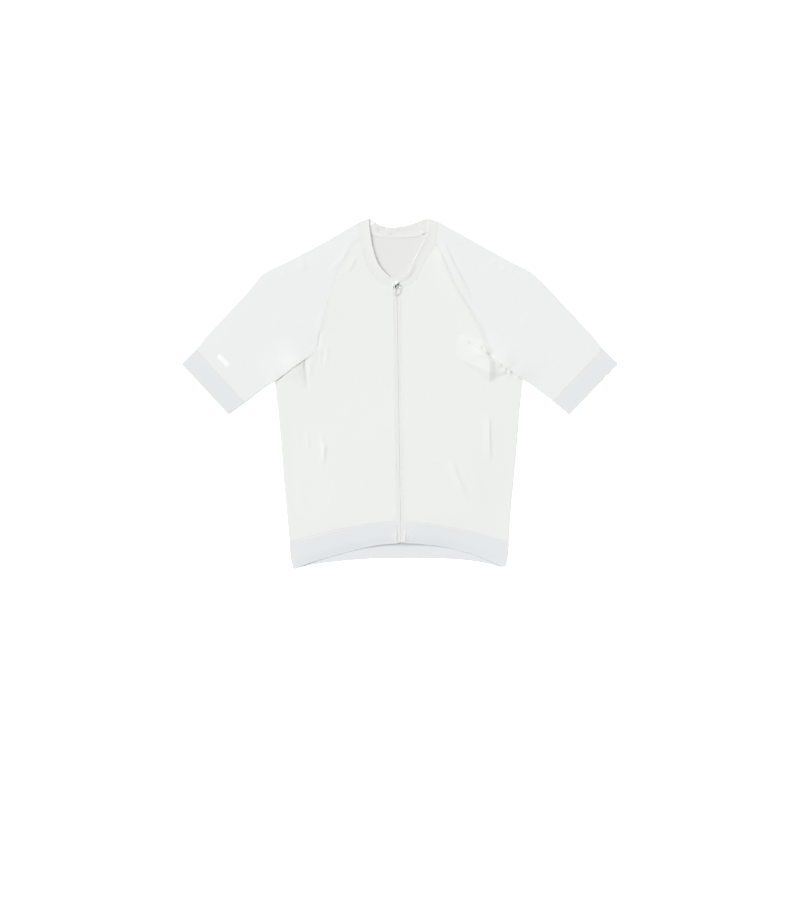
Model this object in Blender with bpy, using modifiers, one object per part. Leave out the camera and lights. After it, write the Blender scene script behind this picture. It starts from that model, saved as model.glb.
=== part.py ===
"""Short-sleeved full-zip raglan cycling jersey, laid flat with its front up.

The garment lies on its back on z = 0, neck towards +Y, hem towards -Y, its own right
sleeve at -X. Tables are in millimetres and become metres where a mesh is made. Every
cloth piece is one open surface, its outer face, that Solidify turns into a wall inwards.
"""
import math

import bmesh
import bpy

MM = 0.001                  # metres in a millimetre
MIDDLE = (-0.5, 0.75)       # middle of the outline in the tables, moved to the origin
WALL = 1.0                  # cloth, with its bonded or turned edges
SEAM = 0.3                  # gap between two pieces that are sewn together
SEAM_INSET = 0.65           # the same gap across X where a seam runs at a slant
FOLD_R = 1.9                # outer radius where cloth turns over at a fold or side seam
FOLD_TOP = 2 * FOLD_R       # height of a folded edge
FRONT_REST = 2.6            # height of the upper face of the front where it lies lowest
EDGE_REACH = 14.0           # how far a rounded edge props up the cloth beside it
CURL_STEPS = 3              # steps in the curl of a side seam
CURL_ANGLE = math.radians(78)
EDGE_SPARE = 0.1            # added to the seam's gap where two curled layers meet
FOLD_STEPS = 5              # steps in the half round of a folded edge
UPPER_STEPS = 10            # steps across the upper layer of a sleeve
UNDER_STEPS = 6             # steps across its under layer
ACROSS = (0.0, 0.33, 0.67, 1.0)   # shares of a band's width where it has points
# Shares of a body panel's width where it has points, from the zip to the side.
SHARES = (0.0, 0.07, 0.15, 0.24, 0.33, 0.42, 0.51, 0.60, 0.69, 0.76, 0.80, 0.88, 0.94, 1.0)

# Zip: from the lower end on the hem to the slider at the neck, leaning slightly.
ZIP_FOOT = (2.0, -292.0)
ZIP_HEAD = (-6.2, 228.0)
ZIP_HALF = 6.5              # half of the strip that shows between the two fronts
CHAIN_HALF = 1.5
CHAIN_RISE = 0.4            # how far the closed teeth stand above the tapes
CHAIN_SHORT = 4.0           # the teeth end this far below the tapes' upper ends
TAPE_SHORT = 1.0            # the tapes end this far below the head of the zip
ZIP_STEPS = 30              # steps along the tapes and the teeth
NECK_SEAM_Y = 209.4         # height at which the collar seam crosses the zip

# Rear pocket: one wide patch, three compartments, sewn into the hem seam.
POCKET_SHARE = 0.775        # half width, as a share of the body's half width
POCKET_TOP = -56.0
POCKET_FOOT = -280.0
POCKET_COLUMNS = 12
POCKET_ROWS = 4
LIFT_SHARE = (0.80, 0.88)   # where the cloth over the pocket starts and ends its step down
LIFT_TOP = (-50.0, -34.0)
LIFT_FOOT = (-282.0, -302.0)
POCKET_LIFT = WALL + SEAM

# Long edges of the hem band, as arches across the body: y in the middle, drop at the half
# width, half width, power of the curve.
HEM_FRONT_SEAM = (-250.0, 41.0, 214.0, 1.6)
HEM_FRONT_EDGE = (-292.0, 49.0, 207.0, 2.2)
HEM_BACK_SEAM = (-274.0, 17.0, 214.0, 4.0)
HEM_BACK_EDGE = (-321.0, 20.0, 207.0, 3.6)
HEM_SAG = (-125.0, 50.0, 1.8)   # where the back edge hangs lower: x, reach, depth
HEM_CORNER = (206.2, -341.0)    # lower corners, from the middle of the hem
HEM_MIDDLE = -0.4
HEM_BULGE = 2.2             # how far the band's ends bow outwards

# Rows of the front panels: y at the side or sleeve, y at the zip; the last row is the neck.
ROW_LEVELS = ((-291.0, -250.0), (25.0, 12.0), (78.0, 62.0))
HEM_BOW = (-150.0, -291.0)  # rows between these heights bend towards the hem seam
FRONT_BOW = 130.0           # rows above this height bend towards the neck seam
BACK_BOW = (190.0, 318.0)

# Sides of the body from the hem to the sleeve: y, left x, right x, how far the edge curls.
SIDE_SECTIONS = (
    (-291.0, -215.8, 212.4, 1.0),
    (-262.0, -218.4, 213.6, 1.0),
    (-232.0, -221.2, 216.0, 1.0),
    (-200.0, -224.0, 218.7, 1.0),
    (-166.0, -227.2, 222.0, 1.0),
    (-132.0, -229.8, 225.2, 1.0),
    (-98.0, -232.4, 228.2, 1.0),
    (-70.0, -235.0, 230.5, 1.0),
    (-50.0, -236.6, 232.1, 1.0),
    (-34.0, -238.0, 233.5, 1.0),
    (-14.0, -240.6, 235.6, 1.0),
    (2.0, -242.2, 237.1, 1.0),
    (14.0, -243.2, 238.1, 0.6),
)

# Sleeves from the collar to the cuff seam. front is the end of the upper layer, on the
# raglan seam and then on the lower edge; fold is the outline along the shoulder and the
# top of the arm; back is the end of the under layer. curl is 1 where the two ends meet
# in the underarm seam; cross is 1 where the sleeve lies over the body.
# Columns: front x, front y, fold x, fold y, back x, back y, curl, cross
SLEEVE_LEFT = (
    (-77.4, 302.0, -79.6, 335.0, -64.0, 318.0, 0.0, 0.0),
    (-95.0, 288.0, -109.0, 318.0, -78.0, 296.0, 0.0, 0.0),
    (-106.0, 268.0, -140.0, 299.9, -92.0, 268.0, 0.0, 0.0),
    (-117.0, 246.0, -172.0, 282.8, -106.0, 238.0, 0.0, 0.0),
    (-127.0, 222.0, -203.0, 266.2, -121.0, 206.0, 0.0, 0.0),
    (-137.0, 186.0, -236.0, 250.0, -136.0, 174.0, 0.0, 0.0),
    (-147.0, 152.0, -262.0, 238.0, -150.0, 144.0, 0.0, 0.1),
    (-158.0, 114.0, -275.0, 227.0, -162.0, 116.0, 0.0, 0.5),
    (-165.0, 82.0, -286.0, 212.4, -171.0, 90.0, 0.1, 1.0),
    (-184.6, 66.6, -299.4, 196.6, -188.0, 71.4, 0.15, 1.0),
    (-204.3, 52.2, -313.0, 181.6, -209.0, 58.8, 0.15, 1.0),
    (-224.0, 37.8, -327.0, 166.6, -227.6, 42.6, 0.15, 1.0),
    (-243.8, 23.4, -341.3, 151.2, -244.3, 23.9, 0.2, 0.8),
    (-262.0, 12.4, -356.0, 135.6, -262.0, 12.4, 1.0, 0.2),
    (-283.0, -3.6, -376.0, 114.4, -283.0, -3.6, 1.0, 0.0),
    (-302.0, -18.6, -397.6, 87.2, -302.0, -18.6, 1.0, 0.0),
)
SLEEVE_RIGHT = (
    (70.6, 292.0, 75.8, 335.0, 60.0, 318.0, 0.0, 0.0),
    (80.0, 270.0, 109.0, 317.0, 74.0, 296.0, 0.0, 0.0),
    (90.0, 246.0, 140.0, 299.6, 88.0, 268.0, 0.0, 0.0),
    (103.0, 215.0, 172.0, 281.8, 102.0, 238.0, 0.0, 0.0),
    (122.0, 184.0, 203.0, 264.4, 118.0, 206.0, 0.0, 0.0),
    (139.0, 156.0, 233.0, 249.0, 135.0, 174.0, 0.0, 0.0),
    (154.0, 128.0, 253.0, 238.6, 152.0, 144.0, 0.0, 0.1),
    (166.0, 101.0, 268.0, 226.4, 168.0, 116.0, 0.0, 0.5),
    (176.7, 73.6, 283.0, 211.4, 182.0, 86.0, 0.1, 1.0),
    (192.2, 60.8, 297.0, 197.2, 195.8, 65.6, 0.15, 1.0),
    (207.8, 49.7, 311.0, 181.6, 212.6, 56.4, 0.15, 1.0),
    (223.3, 38.5, 325.0, 166.6, 226.8, 43.2, 0.15, 1.0),
    (238.9, 27.3, 339.4, 151.2, 239.5, 27.9, 0.2, 0.8),
    (257.0, 15.4, 354.0, 135.6, 257.0, 15.4, 1.0, 0.2),
    (278.0, 0.2, 374.0, 114.4, 278.0, 0.2, 1.0, 0.0),
    (298.6, -16.0, 396.4, 87.2, 298.6, -16.0, 1.0, 0.0),
)
RAGLAN_ROWS = 9             # rows whose front end is on the raglan seam
TUCK_ROWS = 13              # rows up to here lie over the body, which ends below them
CROSS_LIFT = 2.0            # how far the sleeve rises where it lies over the body
CROSS_REACH = (44.0, 14.0)  # distances from its lower edge where that rise starts and ends
# Outer corners of the cuffs: lower x, lower y, upper x, upper y.
CUFF_LEFT = (-334.1, -41.4, -426.5, 58.0)
CUFF_RIGHT = (329.5, -41.4, 425.5, 58.0)

# Front collar from the zip to the shoulder: seam x, seam y, top x, top y, how far the
# top edge stands clear of the cloth beside it. Its first 8 rows are sewn to a front panel.
NECK_ROWS = 8
COLLAR_LEFT = (
    (-12.6, 209.4, -12.8, 227.8, 0.5),
    (-22.0, 210.2, -20.0, 228.2, 1.0),
    (-33.0, 214.2, -25.0, 231.8, 2.0),
    (-43.6, 222.4, -31.0, 237.6, 3.0),
    (-54.6, 236.0, -39.0, 247.0, 3.6),
    (-64.4, 255.0, -46.4, 261.0, 3.8),
    (-72.0, 281.0, -54.0, 287.0, 3.6),
    (-77.4, 302.0, -57.6, 308.0, 3.0),
    (-78.2, 320.0, -60.0, 326.0, 1.6),
    (-79.6, 335.0, -60.6, 342.6, 0.0),
)
COLLAR_RIGHT = (
    (0.6, 209.4, 0.4, 227.8, 0.5),
    (13.0, 210.0, 9.8, 227.8, 0.9),
    (25.0, 216.0, 14.0, 232.0, 1.4),
    (34.4, 227.4, 18.4, 239.0, 1.8),
    (43.4, 245.0, 26.0, 256.0, 2.0),
    (53.4, 265.6, 36.0, 276.4, 2.0),
    (65.0, 283.0, 44.0, 291.0, 1.8),
    (70.6, 292.0, 48.6, 301.0, 1.5),
    (72.6, 312.0, 54.8, 317.0, 0.8),
    (75.8, 335.0, 55.6, 342.6, 0.0),
)
# Back collar from the left shoulder to the right: seam x, seam y, top x, top y.
COLLAR_BACK = (
    (-79.6, 335.0, -60.6, 342.6),
    (-64.0, 318.0, -52.0, 337.0),
    (-51.0, 309.6, -41.0, 329.6),
    (-36.0, 306.4, -30.0, 325.4),
    (-16.0, 305.6, -14.0, 324.0),
    (4.0, 305.6, 6.0, 325.8),
    (22.0, 306.4, 22.0, 330.2),
    (40.0, 309.0, 36.0, 335.2),
    (60.0, 318.0, 48.0, 340.0),
    (75.8, 335.0, 55.6, 342.6),
)
BACK_STAND = 1.6            # rise of the back collar's top edge

# Flap over the head of the zip: x, lower y, upper y, from right to left.
GARAGE_SECTIONS = (
    (18.0, 226.4, 235.0),
    (12.0, 221.6, 229.6),
    (4.0, 218.8, 227.6),
    (-1.0, 216.8, 227.6),
    (-5.9, 214.8, 227.6),
    (-10.0, 213.8, 227.4),
    (-12.8, 210.6, 226.6),
    (-15.4, 208.8, 222.0),
)
GARAGE_RISE = 2.8           # upper face of the flap above the front cloth
GARAGE_SWELL = 1.2          # further rise over the slider
GARAGE_REACH = 8.0          # how far to each side of the slider that rise reaches

# Larger creases in the upper cloth: x, y at each end, height, half width.
CREASES = (
    (84.0, 300.0, 120.0, 233.0, 1.3, 6.0),
    (120.0, 233.0, 146.0, 168.0, 1.3, 6.0),
    (146.0, 168.0, 168.0, 96.0, 1.1, 6.0),
    (179.0, 66.0, 181.0, 24.0, 1.4, 5.0),
    (181.0, 22.0, 212.0, 40.0, 1.0, 6.0),
    (133.0, 98.0, 168.0, 76.0, 0.9, 6.0),
    (-191.0, 62.0, -183.0, 14.0, 1.3, 5.0),
    (-183.0, 14.0, -220.0, 36.0, 1.0, 6.0),
    (-166.0, 92.0, -148.0, 50.0, 0.9, 7.0),
    (-158.0, 118.0, -151.0, 158.0, 0.6, 6.0),
    (-95.0, 292.0, -126.0, 238.0, 0.7, 6.0),
    (-193.0, 268.0, -181.0, 239.0, 0.7, 7.0),
    (174.0, -50.0, 177.0, -130.0, 0.6, 6.0),
    (-154.0, -64.0, -142.0, -136.0, 0.6, 6.0),
    (-181.0, -68.0, -176.0, -116.0, 0.5, 6.0),
    (105.0, -141.0, 125.0, -198.0, 0.5, 8.0),
)
SWELL = 0.25                # height of the slow unevenness of the upper cloth
SWELL_X, SWELL_Y, SWELL_SLANT = 47.0, 61.0, 83.0   # its wavelengths, divided by 2 pi

# Slider, its bridge and the pull loop, at the head of the zip.
PULL_X = -5.9
PULL_AXIS_Y = 211.0
PULL_WIRE = 0.6             # radius
PULL_HALF = 4.75            # half width between wire centres
PULL_REACH = 18.3           # from the hinge line to the middle of the far bend
PULL_CORNER = 2.2
CORNER_STEPS = 3
BEND_STEPS = 8
PULL_TILT = math.radians(5.6)
SLIDER_SIZE = (7.0, 13.0, 1.6)
SLIDER_Y = 212.6
BRIDGE_HALF = 2.4
BRIDGE_WIRE = 0.45
BRIDGE_RISE = 2.2           # wire centre above the slider's top face
BRIDGE_SINK = 0.5           # how deep its ends go into the slider
BRIDGE_CORNER = 0.6
AXIS_RISE = 0.88            # hinge line above the slider's top face
BOX_SIZE = (8.0, 8.6, 2.4)
BOX_Y = -286.2
BOX_GAP = 0.4               # between the box and the back panel below it
BEVEL = 0.5                 # rounding of the slider and the box

# Colour, roughness and metallic value of each finish.
BODY_CLOTH = ((0.85, 0.87, 0.85), 0.82, 0.0)
SLEEVE_CLOTH = ((0.86, 0.88, 0.87), 0.82, 0.0)
BAND_CLOTH = ((0.78, 0.81, 0.82), 0.75, 0.0)
COLLAR_CLOTH = ((0.84, 0.85, 0.83), 0.80, 0.0)
TAPE_CLOTH = ((0.84, 0.84, 0.82), 0.70, 0.0)
TEETH = ((0.72, 0.73, 0.71), 0.45, 0.0)
METAL = ((0.78, 0.78, 0.76), 0.35, 0.6)


def metres(point):
    return (point[0] - MIDDLE[0]) * MM, (point[1] - MIDDLE[1]) * MM, point[2] * MM


def lerp(a, b, t):
    return tuple(p + (q - p) * t for p, q in zip(a, b))


def step(low, high, value):
    """Smooth step from 0 at low to 1 at high; low may be the larger."""
    t = min(max((value - low) / (high - low), 0.0), 1.0)
    return t * t * (3 - 2 * t)


def reading(table, value, column):
    """Linear reading of one column of a table whose first column rises."""
    for low, high in zip(table, table[1:]):
        if value <= high[0]:
            t = max((value - low[0]) / (high[0] - low[0]), 0.0)
            return low[column] + (high[column] - low[column]) * t
    return table[-1][column]


def zip_x(y):
    t = (y - ZIP_FOOT[1]) / (ZIP_HEAD[1] - ZIP_FOOT[1])
    return ZIP_FOOT[0] + (ZIP_HEAD[0] - ZIP_FOOT[0]) * t


def side_x(y, side):
    return reading(SIDE_SECTIONS, y, 1 if side < 0 else 2)


def arch(values, x):
    """Height of one long edge of the hem band."""
    middle, drop, half, power = values
    return middle - drop * (abs(x) / half) ** power


def hem_back_edge(x):
    sag_x, reach, depth = HEM_SAG
    return arch(HEM_BACK_EDGE, x) - depth * math.exp(-((x - sag_x) / reach) ** 2)


def hem_side(t, side):
    """The outline of the hem band at the side, from its seam at 0 to its corner at 1."""
    top_x = side_x(SIDE_SECTIONS[0][0], side)
    top = (top_x, arch(HEM_FRONT_SEAM, top_x))
    corner = (side * HEM_CORNER[0] + HEM_MIDDLE, HEM_CORNER[1])
    x, y = lerp(top, corner, t)
    return x + hem_bulge(t, side), y


def hem_bulge(t, side):
    return side * HEM_BULGE * math.sin(math.pi * t)


def crease_height(x, y):
    """Ridges along straight creases that fade towards both ends."""
    total = 0.0
    for x0, y0, x1, y1, height, half in CREASES:
        length = math.hypot(x1 - x0, y1 - y0)
        along = ((x - x0) * (x1 - x0) + (y - y0) * (y1 - y0)) / length
        across = ((x - x0) * (y1 - y0) - (y - y0) * (x1 - x0)) / length
        fade = step(-half, half, along) * step(length + half, length - half, along)
        total += height * fade * math.exp(-(across / half) ** 2)
    return total


def pocket_lift(x, y):
    """How far the pocket raises what lies on it: 0 off the pocket, 1 on it."""
    share = abs(x) / abs(side_x(y, -1 if x < 0 else 1))
    rise = step(LIFT_SHARE[1], LIFT_SHARE[0], share)
    return rise * step(LIFT_TOP[1], LIFT_TOP[0], y) * step(LIFT_FOOT[1], LIFT_FOOT[0], y)


def front_top(x, y):
    """Height of the upper face of the front cloth, away from rounded edges."""
    swell = math.sin(x / SWELL_X + 0.6) * math.cos(y / SWELL_Y - 0.4)
    swell += math.sin((x - y) / SWELL_SLANT)
    return (FRONT_REST + POCKET_LIFT * pocket_lift(x, y) + SWELL * (1.0 + 0.5 * swell)
            + crease_height(x, y))


def near_edge(height, edge_height, distance):
    """Blends a height into that of a rounded edge at a distance from it."""
    share = math.exp(-(distance / EDGE_REACH) ** 2)
    return height + max(edge_height - height, 0.0) * share


def edge_top(curl):
    """Height of the upper face beside an edge whose two layers curl towards each other."""
    angle = curl * CURL_ANGLE
    rim = FOLD_R * (1 - math.cos(angle)) + WALL * math.cos(angle * (1 - 0.5 / CURL_STEPS))
    return 2 * rim + SEAM + EDGE_SPARE


def curl_offsets(curl):
    """Inset and drop of each point of a quarter round, from its inner end to its rim."""
    offsets = []
    widest = math.sin(curl * CURL_ANGLE)
    for i in range(CURL_STEPS + 1):
        t = i / CURL_STEPS
        angle = curl * t * CURL_ANGLE
        inset = FOLD_R * ((widest - math.sin(angle)) + (1 - widest) * (1 - t))
        offsets.append((inset, FOLD_R * (1 - math.cos(angle))))
    return offsets


def finish(name, values):
    colour, roughness, metallic = values
    material = bpy.data.materials.new(name)
    material.use_nodes = True
    shader = material.node_tree.nodes["Principled BSDF"]
    shader.inputs["Base Color"].default_value = (*colour, 1.0)
    shader.inputs["Roughness"].default_value = roughness
    shader.inputs["Metallic"].default_value = metallic
    return material


def keep(item, values, parts):
    parts.objects.link(item)
    item.data.materials.clear()
    item.data.materials.append(finish(item.name + "_finish", values))
    item.data.shade_smooth()
    item.data.set_sharp_from_angle(angle=math.radians(40))
    return item


def sheet(name, rows, values, parts, wall=WALL, upward=True):
    """A wall of cloth from a grid of points on its outer face.

    The first cell of the grid faces up, or down if upward is False.
    """
    width = len(rows[0])
    points = [metres(point) for row in rows for point in row]
    faces = []
    for i in range(len(rows) - 1):
        for j in range(width - 1):
            a = i * width + j
            faces.append((a, a + 1, a + width + 1, a + width))
    mesh = bpy.data.meshes.new(name)
    mesh.from_pydata(points, [], faces)
    mesh.update()
    if (mesh.polygons[0].normal.z > 0) != upward:
        mesh.flip_normals()
    item = bpy.data.objects.new(name, mesh)
    solid = item.modifiers.new("wall", "SOLIDIFY")
    solid.thickness = wall * MM
    solid.offset = -1.0
    solid.use_even_offset = True
    return keep(item, values, parts)


def panel_row(inner, outer, curl, side, bow, face):
    """One row of a body panel, from the zip or the middle out to the side.

    bow(share) is added to x and y; face is 'front' or 'back'.
    """
    row = []
    length = math.hypot(outer[0] - inner[0], outer[1] - inner[1])
    offsets = curl_offsets(curl)
    rim_share = 1 - offsets[0][0] / length
    places = [(share * rim_share, 0.0) for share in SHARES[:-1]]
    places += [(1 - inset / length, drop) for inset, drop in offsets]
    for share, drop in places:
        x, y = lerp(inner, outer, share)
        dx, dy = bow(share)
        x, y = x + dx, y + dy
        if face == "front":
            distance = max(rim_share - share, 0.0) * length
            z = near_edge(front_top(x, y), edge_top(curl), distance) - drop
        else:
            z = POCKET_LIFT * pocket_lift(x, y) + drop
        row.append((x, y, z))
    return row


def seam_reader(table, count):
    """Position on the first count rows of a collar table by share of the seam's length."""
    rows = table[:count]
    marks = [0.0]
    for low, high in zip(rows, rows[1:]):
        marks.append(marks[-1] + math.hypot(high[0] - low[0], high[1] - low[1]))

    def read(share):
        target = share * marks[-1]
        for i in range(len(rows) - 1):
            if target <= marks[i + 1] or i == len(rows) - 2:
                t = (target - marks[i]) / (marks[i + 1] - marks[i])
                return lerp(rows[i], rows[i + 1], t)
        return rows[-1]

    return read


def outline(sleeve, side, face):
    """Outer ends of a panel's rows from the hem to the collar: x, y, curl."""
    column = 1 if side < 0 else 2
    points = [(row[column], row[0], row[3]) for row in SIDE_SECTIONS]
    for row in reversed(sleeve[RAGLAN_ROWS:TUCK_ROWS]):
        points.append((row[4] - side * SEAM_INSET, row[5], 0.0))
    first = 0 if face == "front" else 4
    for row in reversed(sleeve[:RAGLAN_ROWS]):
        points.append((row[first] - side * SEAM_INSET, row[first + 1], 0.0))
    return points


def front_rows(sleeve, collar, side):
    points = outline(sleeve, side, "front")
    neck = seam_reader(collar, NECK_ROWS)
    neck_end = points[-1][0:2]
    neck_y = neck_end[1]
    levels = ROW_LEVELS + ((neck_y, NECK_SEAM_Y),)
    neck_start = (zip_x(NECK_SEAM_Y) + side * (ZIP_HALF + SEAM / 2), NECK_SEAM_Y)
    rows = []
    for x, y, curl in points:
        level = reading(levels, y, 1)
        inner = (zip_x(level) + side * (ZIP_HALF + SEAM / 2), level)
        outer = (x, y)
        low = step(*HEM_BOW, y)
        high = step(FRONT_BOW, neck_y, y)

        def bow(share):
            px = inner[0] + (outer[0] - inner[0]) * share
            sag = arch(HEM_FRONT_SEAM, px) - HEM_FRONT_SEAM[0] + HEM_FRONT_SEAM[1] * share
            chord = lerp(neck_start, neck_end, share)
            seam = neck(share)
            return (seam[0] - chord[0]) * high, (seam[1] - chord[1]) * high + sag * low

        rows.append(panel_row(inner, outer, curl, side, bow, "front"))
    return rows


def back_rows():
    left = outline(SLEEVE_LEFT, -1, "back")
    right = outline(SLEEVE_RIGHT, 1, "back")
    hem_y = (left[0][1] + right[0][1]) / 2
    rows = []
    for left_end, right_end in zip(left, right):
        level = (left_end[1] + right_end[1]) / 2
        low = step(*HEM_BOW, level)
        high = step(*BACK_BOW, level)
        middle = (0.0, level)
        halves = []
        for side, (x, y, curl), (top_x, top_y, _) in ((-1, left_end, left[-1]),
                                                      (1, right_end, right[-1])):

            def bow(share):
                sag = arch(HEM_BACK_SEAM, x * share) - hem_y
                seam = reading(COLLAR_BACK, top_x * share, 1) - SEAM
                return 0.0, sag * low + (seam - top_y) * high

            halves.append(panel_row(middle, (x, y), curl, side, bow, "back"))
        rows.append(halves[0][::-1] + halves[1][1:])
    return rows


def unit(a, b):
    length = math.hypot(b[0] - a[0], b[1] - a[1])
    return (b[0] - a[0]) / length, (b[1] - a[1]) / length, length


def tube_row(front, fold, back, curl, cross):
    """One section round a flattened sleeve or cuff: upper layer, fold, under layer."""
    row = []
    middle = lerp(front, back, 0.5)
    out_x, out_y, _ = unit(middle, fold)
    turn = (fold[0] - out_x * FOLD_R, fold[1] - out_y * FOLD_R)
    offsets = curl_offsets(curl)
    ux, uy, length = unit(front, turn)
    rim = offsets[0][0]
    places = [(inset, drop) for inset, drop in reversed(offsets)]
    places += [(rim + (length - rim) * i / UPPER_STEPS, 0.0) for i in range(1, UPPER_STEPS)]
    for inset, drop in places:
        x, y = front[0] + ux * inset, front[1] + uy * inset
        z = front_top(x, y) + CROSS_LIFT * cross * step(*CROSS_REACH, inset)
        z = near_edge(z, FOLD_TOP, length - inset)
        z = near_edge(z, edge_top(curl), max(inset - rim, 0.0))
        row.append((x, y, z - drop))
    for i in range(FOLD_STEPS + 1):
        angle = math.pi * i / FOLD_STEPS
        reach = FOLD_R * math.sin(angle)
        row.append((turn[0] + out_x * reach, turn[1] + out_y * reach,
                    FOLD_R + FOLD_R * math.cos(angle)))
    ux, uy, length = unit(turn, back)
    for i in range(1, UNDER_STEPS):
        reach = (length - rim) * i / UNDER_STEPS
        row.append((turn[0] + ux * reach, turn[1] + uy * reach, 0.0))
    for inset, drop in offsets:
        reach = length - inset
        row.append((turn[0] + ux * reach, turn[1] + uy * reach, drop))
    return row


def sleeve_rows(table):
    return [tube_row(row[0:2], row[2:4], row[4:6], row[6], row[7]) for row in table]


def cuff_rows(table, corners):
    last = table[-1]
    low, high = last[0:2], last[2:4]
    width = math.hypot(corners[0] - low[0], corners[1] - low[1])
    rows = []
    for t in (SEAM / width, *ACROSS[1:]):
        edge = lerp(low, corners[0:2], t)
        rows.append(tube_row(edge, lerp(high, corners[2:4], t), edge, 1.0, 0.0))
    return rows


def folded_line(seam, top, out, angle, stand=0.0):
    """A line across a band, part of the way round its fold."""
    reach = FOLD_R * (math.sin(angle) - 1)
    z = FOLD_R + FOLD_R * math.cos(angle)
    line = []
    for t in ACROSS:
        x, y = lerp(seam, top, t)
        line.append((x + out[0] * reach, y + out[1] * reach, z + stand * t * t))
    return line


def collar_front(table):
    """Lines across the front collar, from the zip to just short of the shoulder fold."""
    read = seam_reader(table, NECK_ROWS)
    fold = table[-1]
    lines = []
    for section in [read(share) for share in SHARES] + [table[NECK_ROWS]]:
        seam, top, stand = section[0:2], section[2:4], section[4]
        width = math.hypot(top[0] - seam[0], top[1] - seam[1])
        seam = lerp(seam, top, SEAM / width)
        line = []
        for t in ACROSS:
            x, y = lerp(seam, top, t)
            distance = math.hypot(seam[0] - fold[0], seam[1] - fold[1])
            line.append((x, y, near_edge(front_top(x, y), FOLD_TOP, distance) + stand * t * t))
        lines.append(line)
    return lines


def collar_fold(table, side):
    seam, top = table[-1][0:2], table[-1][2:4]
    ux, uy, width = unit(seam, top)
    seam = lerp(seam, top, SEAM / width)
    out = (side * abs(uy), abs(ux))
    return [folded_line(seam, top, out, math.pi * i / FOLD_STEPS) for i in range(FOLD_STEPS + 1)]


def collar_rows():
    lines = collar_front(COLLAR_LEFT) + collar_fold(COLLAR_LEFT, -1)
    for seam_x, seam_y, top_x, top_y in COLLAR_BACK[1:-1]:
        width = math.hypot(top_x - seam_x, top_y - seam_y)
        seam = lerp((seam_x, seam_y), (top_x, top_y), 2 * SEAM / width)
        line = []
        for t in ACROSS:
            x, y = lerp(seam, (top_x, top_y), t)
            line.append((x, y, BACK_STAND * t * t))
        lines.append(line)
    lines += collar_fold(COLLAR_RIGHT, 1)[::-1]
    lines += collar_front(COLLAR_RIGHT)[::-1]
    return lines


def hem_front(row, side):
    """Lines across the front of the hem band, from the zip to the side."""
    lines = []
    corner = hem_side(1.0, side)
    edge_start = zip_x(ZIP_FOOT[1]) + side * (ZIP_HALF + SEAM / 2)
    for share, point in zip(SHARES, row):
        x = edge_start + (corner[0] - side * FOLD_R - edge_start) * share
        low = (x, arch(HEM_FRONT_EDGE, x))
        line = []
        for t in ACROSS:
            px, py = lerp((point[0], point[1] - SEAM), low, t)
            distance = (1 - share) * abs(corner[0])
            px += hem_bulge(t, side) * share
            line.append((px, py, near_edge(front_top(px, py), FOLD_TOP, distance)))
        lines.append(line)
    return lines


def hem_fold(side):
    lines = []
    for i in range(1, FOLD_STEPS):
        angle = math.pi * i / FOLD_STEPS
        line = []
        for t in ACROSS:
            x, y = hem_side(t, side)
            x -= side * FOLD_R * (1 - math.sin(angle))
            line.append((x, y - SEAM * (1 - t), FOLD_R + FOLD_R * math.cos(angle)))
        lines.append(line)
    return lines


def hem_back(row):
    """Lines across the back of the hem band, from left to right."""
    lines = []
    flat = len(SHARES) - 1
    row = row[CURL_STEPS:len(row) - CURL_STEPS]
    for i, point in enumerate(row):
        share = SHARES[abs(i - flat)]
        side = -1 if i < flat else 1
        corner = hem_side(1.0, side)
        x = (corner[0] - side * FOLD_R) * share
        line = []
        for t in ACROSS:
            px, py = lerp((point[0], point[1] - SEAM), (x, hem_back_edge(x)), t)
            line.append((px + hem_bulge(t, side) * share, py, 0.0))
        lines.append(line)
    return lines


def pocket_rows():
    rows = []
    for level in range(POCKET_ROWS + 1):
        t = level / POCKET_ROWS
        row = []
        for i in range(POCKET_COLUMNS + 1):
            share = (2 * i / POCKET_COLUMNS - 1) * POCKET_SHARE
            side = -1 if share < 0 else 1
            x = abs(share) * side_x(POCKET_FOOT * (1 - t) + POCKET_TOP * t, side)
            row.append((x, arch(HEM_BACK_SEAM, x) * (1 - t) + POCKET_TOP * t, 0.0))
        rows.append(row)
    return rows


def strip_rows(near, far, low, high, rise):
    """A strip along the zip between two offsets from its centre line."""
    rows = []
    for i in range(ZIP_STEPS + 1):
        y = low + (high - low) * i / ZIP_STEPS
        rows.append([(zip_x(y) + dx, y, front_top(zip_x(y), y) + rise) for dx in (near, far)])
    return rows


def garage_rows():
    rows = []
    for x, low, high in GARAGE_SECTIONS:
        row = []
        for t in ACROSS:
            y = low + (high - low) * t
            swell = GARAGE_SWELL * math.exp(-((x - PULL_X) / GARAGE_REACH) ** 2)
            row.append((x, y, front_top(x, y) + GARAGE_RISE + swell))
        rows.append(row)
    return rows


def block(name, size, centre):
    """A box with rounded edges; size and centre in millimetres."""
    mesh = bpy.data.meshes.new(name)
    shape = bmesh.new()
    bmesh.ops.create_cube(shape, size=1.0)
    bmesh.ops.scale(shape, vec=[side * MM for side in size], verts=shape.verts)
    bmesh.ops.translate(shape, vec=metres(centre), verts=shape.verts)
    bmesh.ops.bevel(shape, geom=shape.edges[:], offset=BEVEL * MM, segments=2, profile=0.5,
                    affect="EDGES", clamp_overlap=True)
    shape.to_mesh(mesh)
    shape.free()
    return bpy.data.objects.new(name, mesh)


def wire(name, points, radius, closed):
    """A round wire along points in millimetres."""
    path = bpy.data.curves.new(name, "CURVE")
    path.dimensions = "3D"
    path.bevel_depth = radius * MM
    path.bevel_resolution = 2
    path.use_fill_caps = not closed
    line = path.splines.new("POLY")
    line.points.add(len(points) - 1)
    for target, point in zip(line.points, points):
        target.co = (*metres(point), 1.0)
    line.use_cyclic_u = closed
    return bpy.data.objects.new(name, path)


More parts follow.
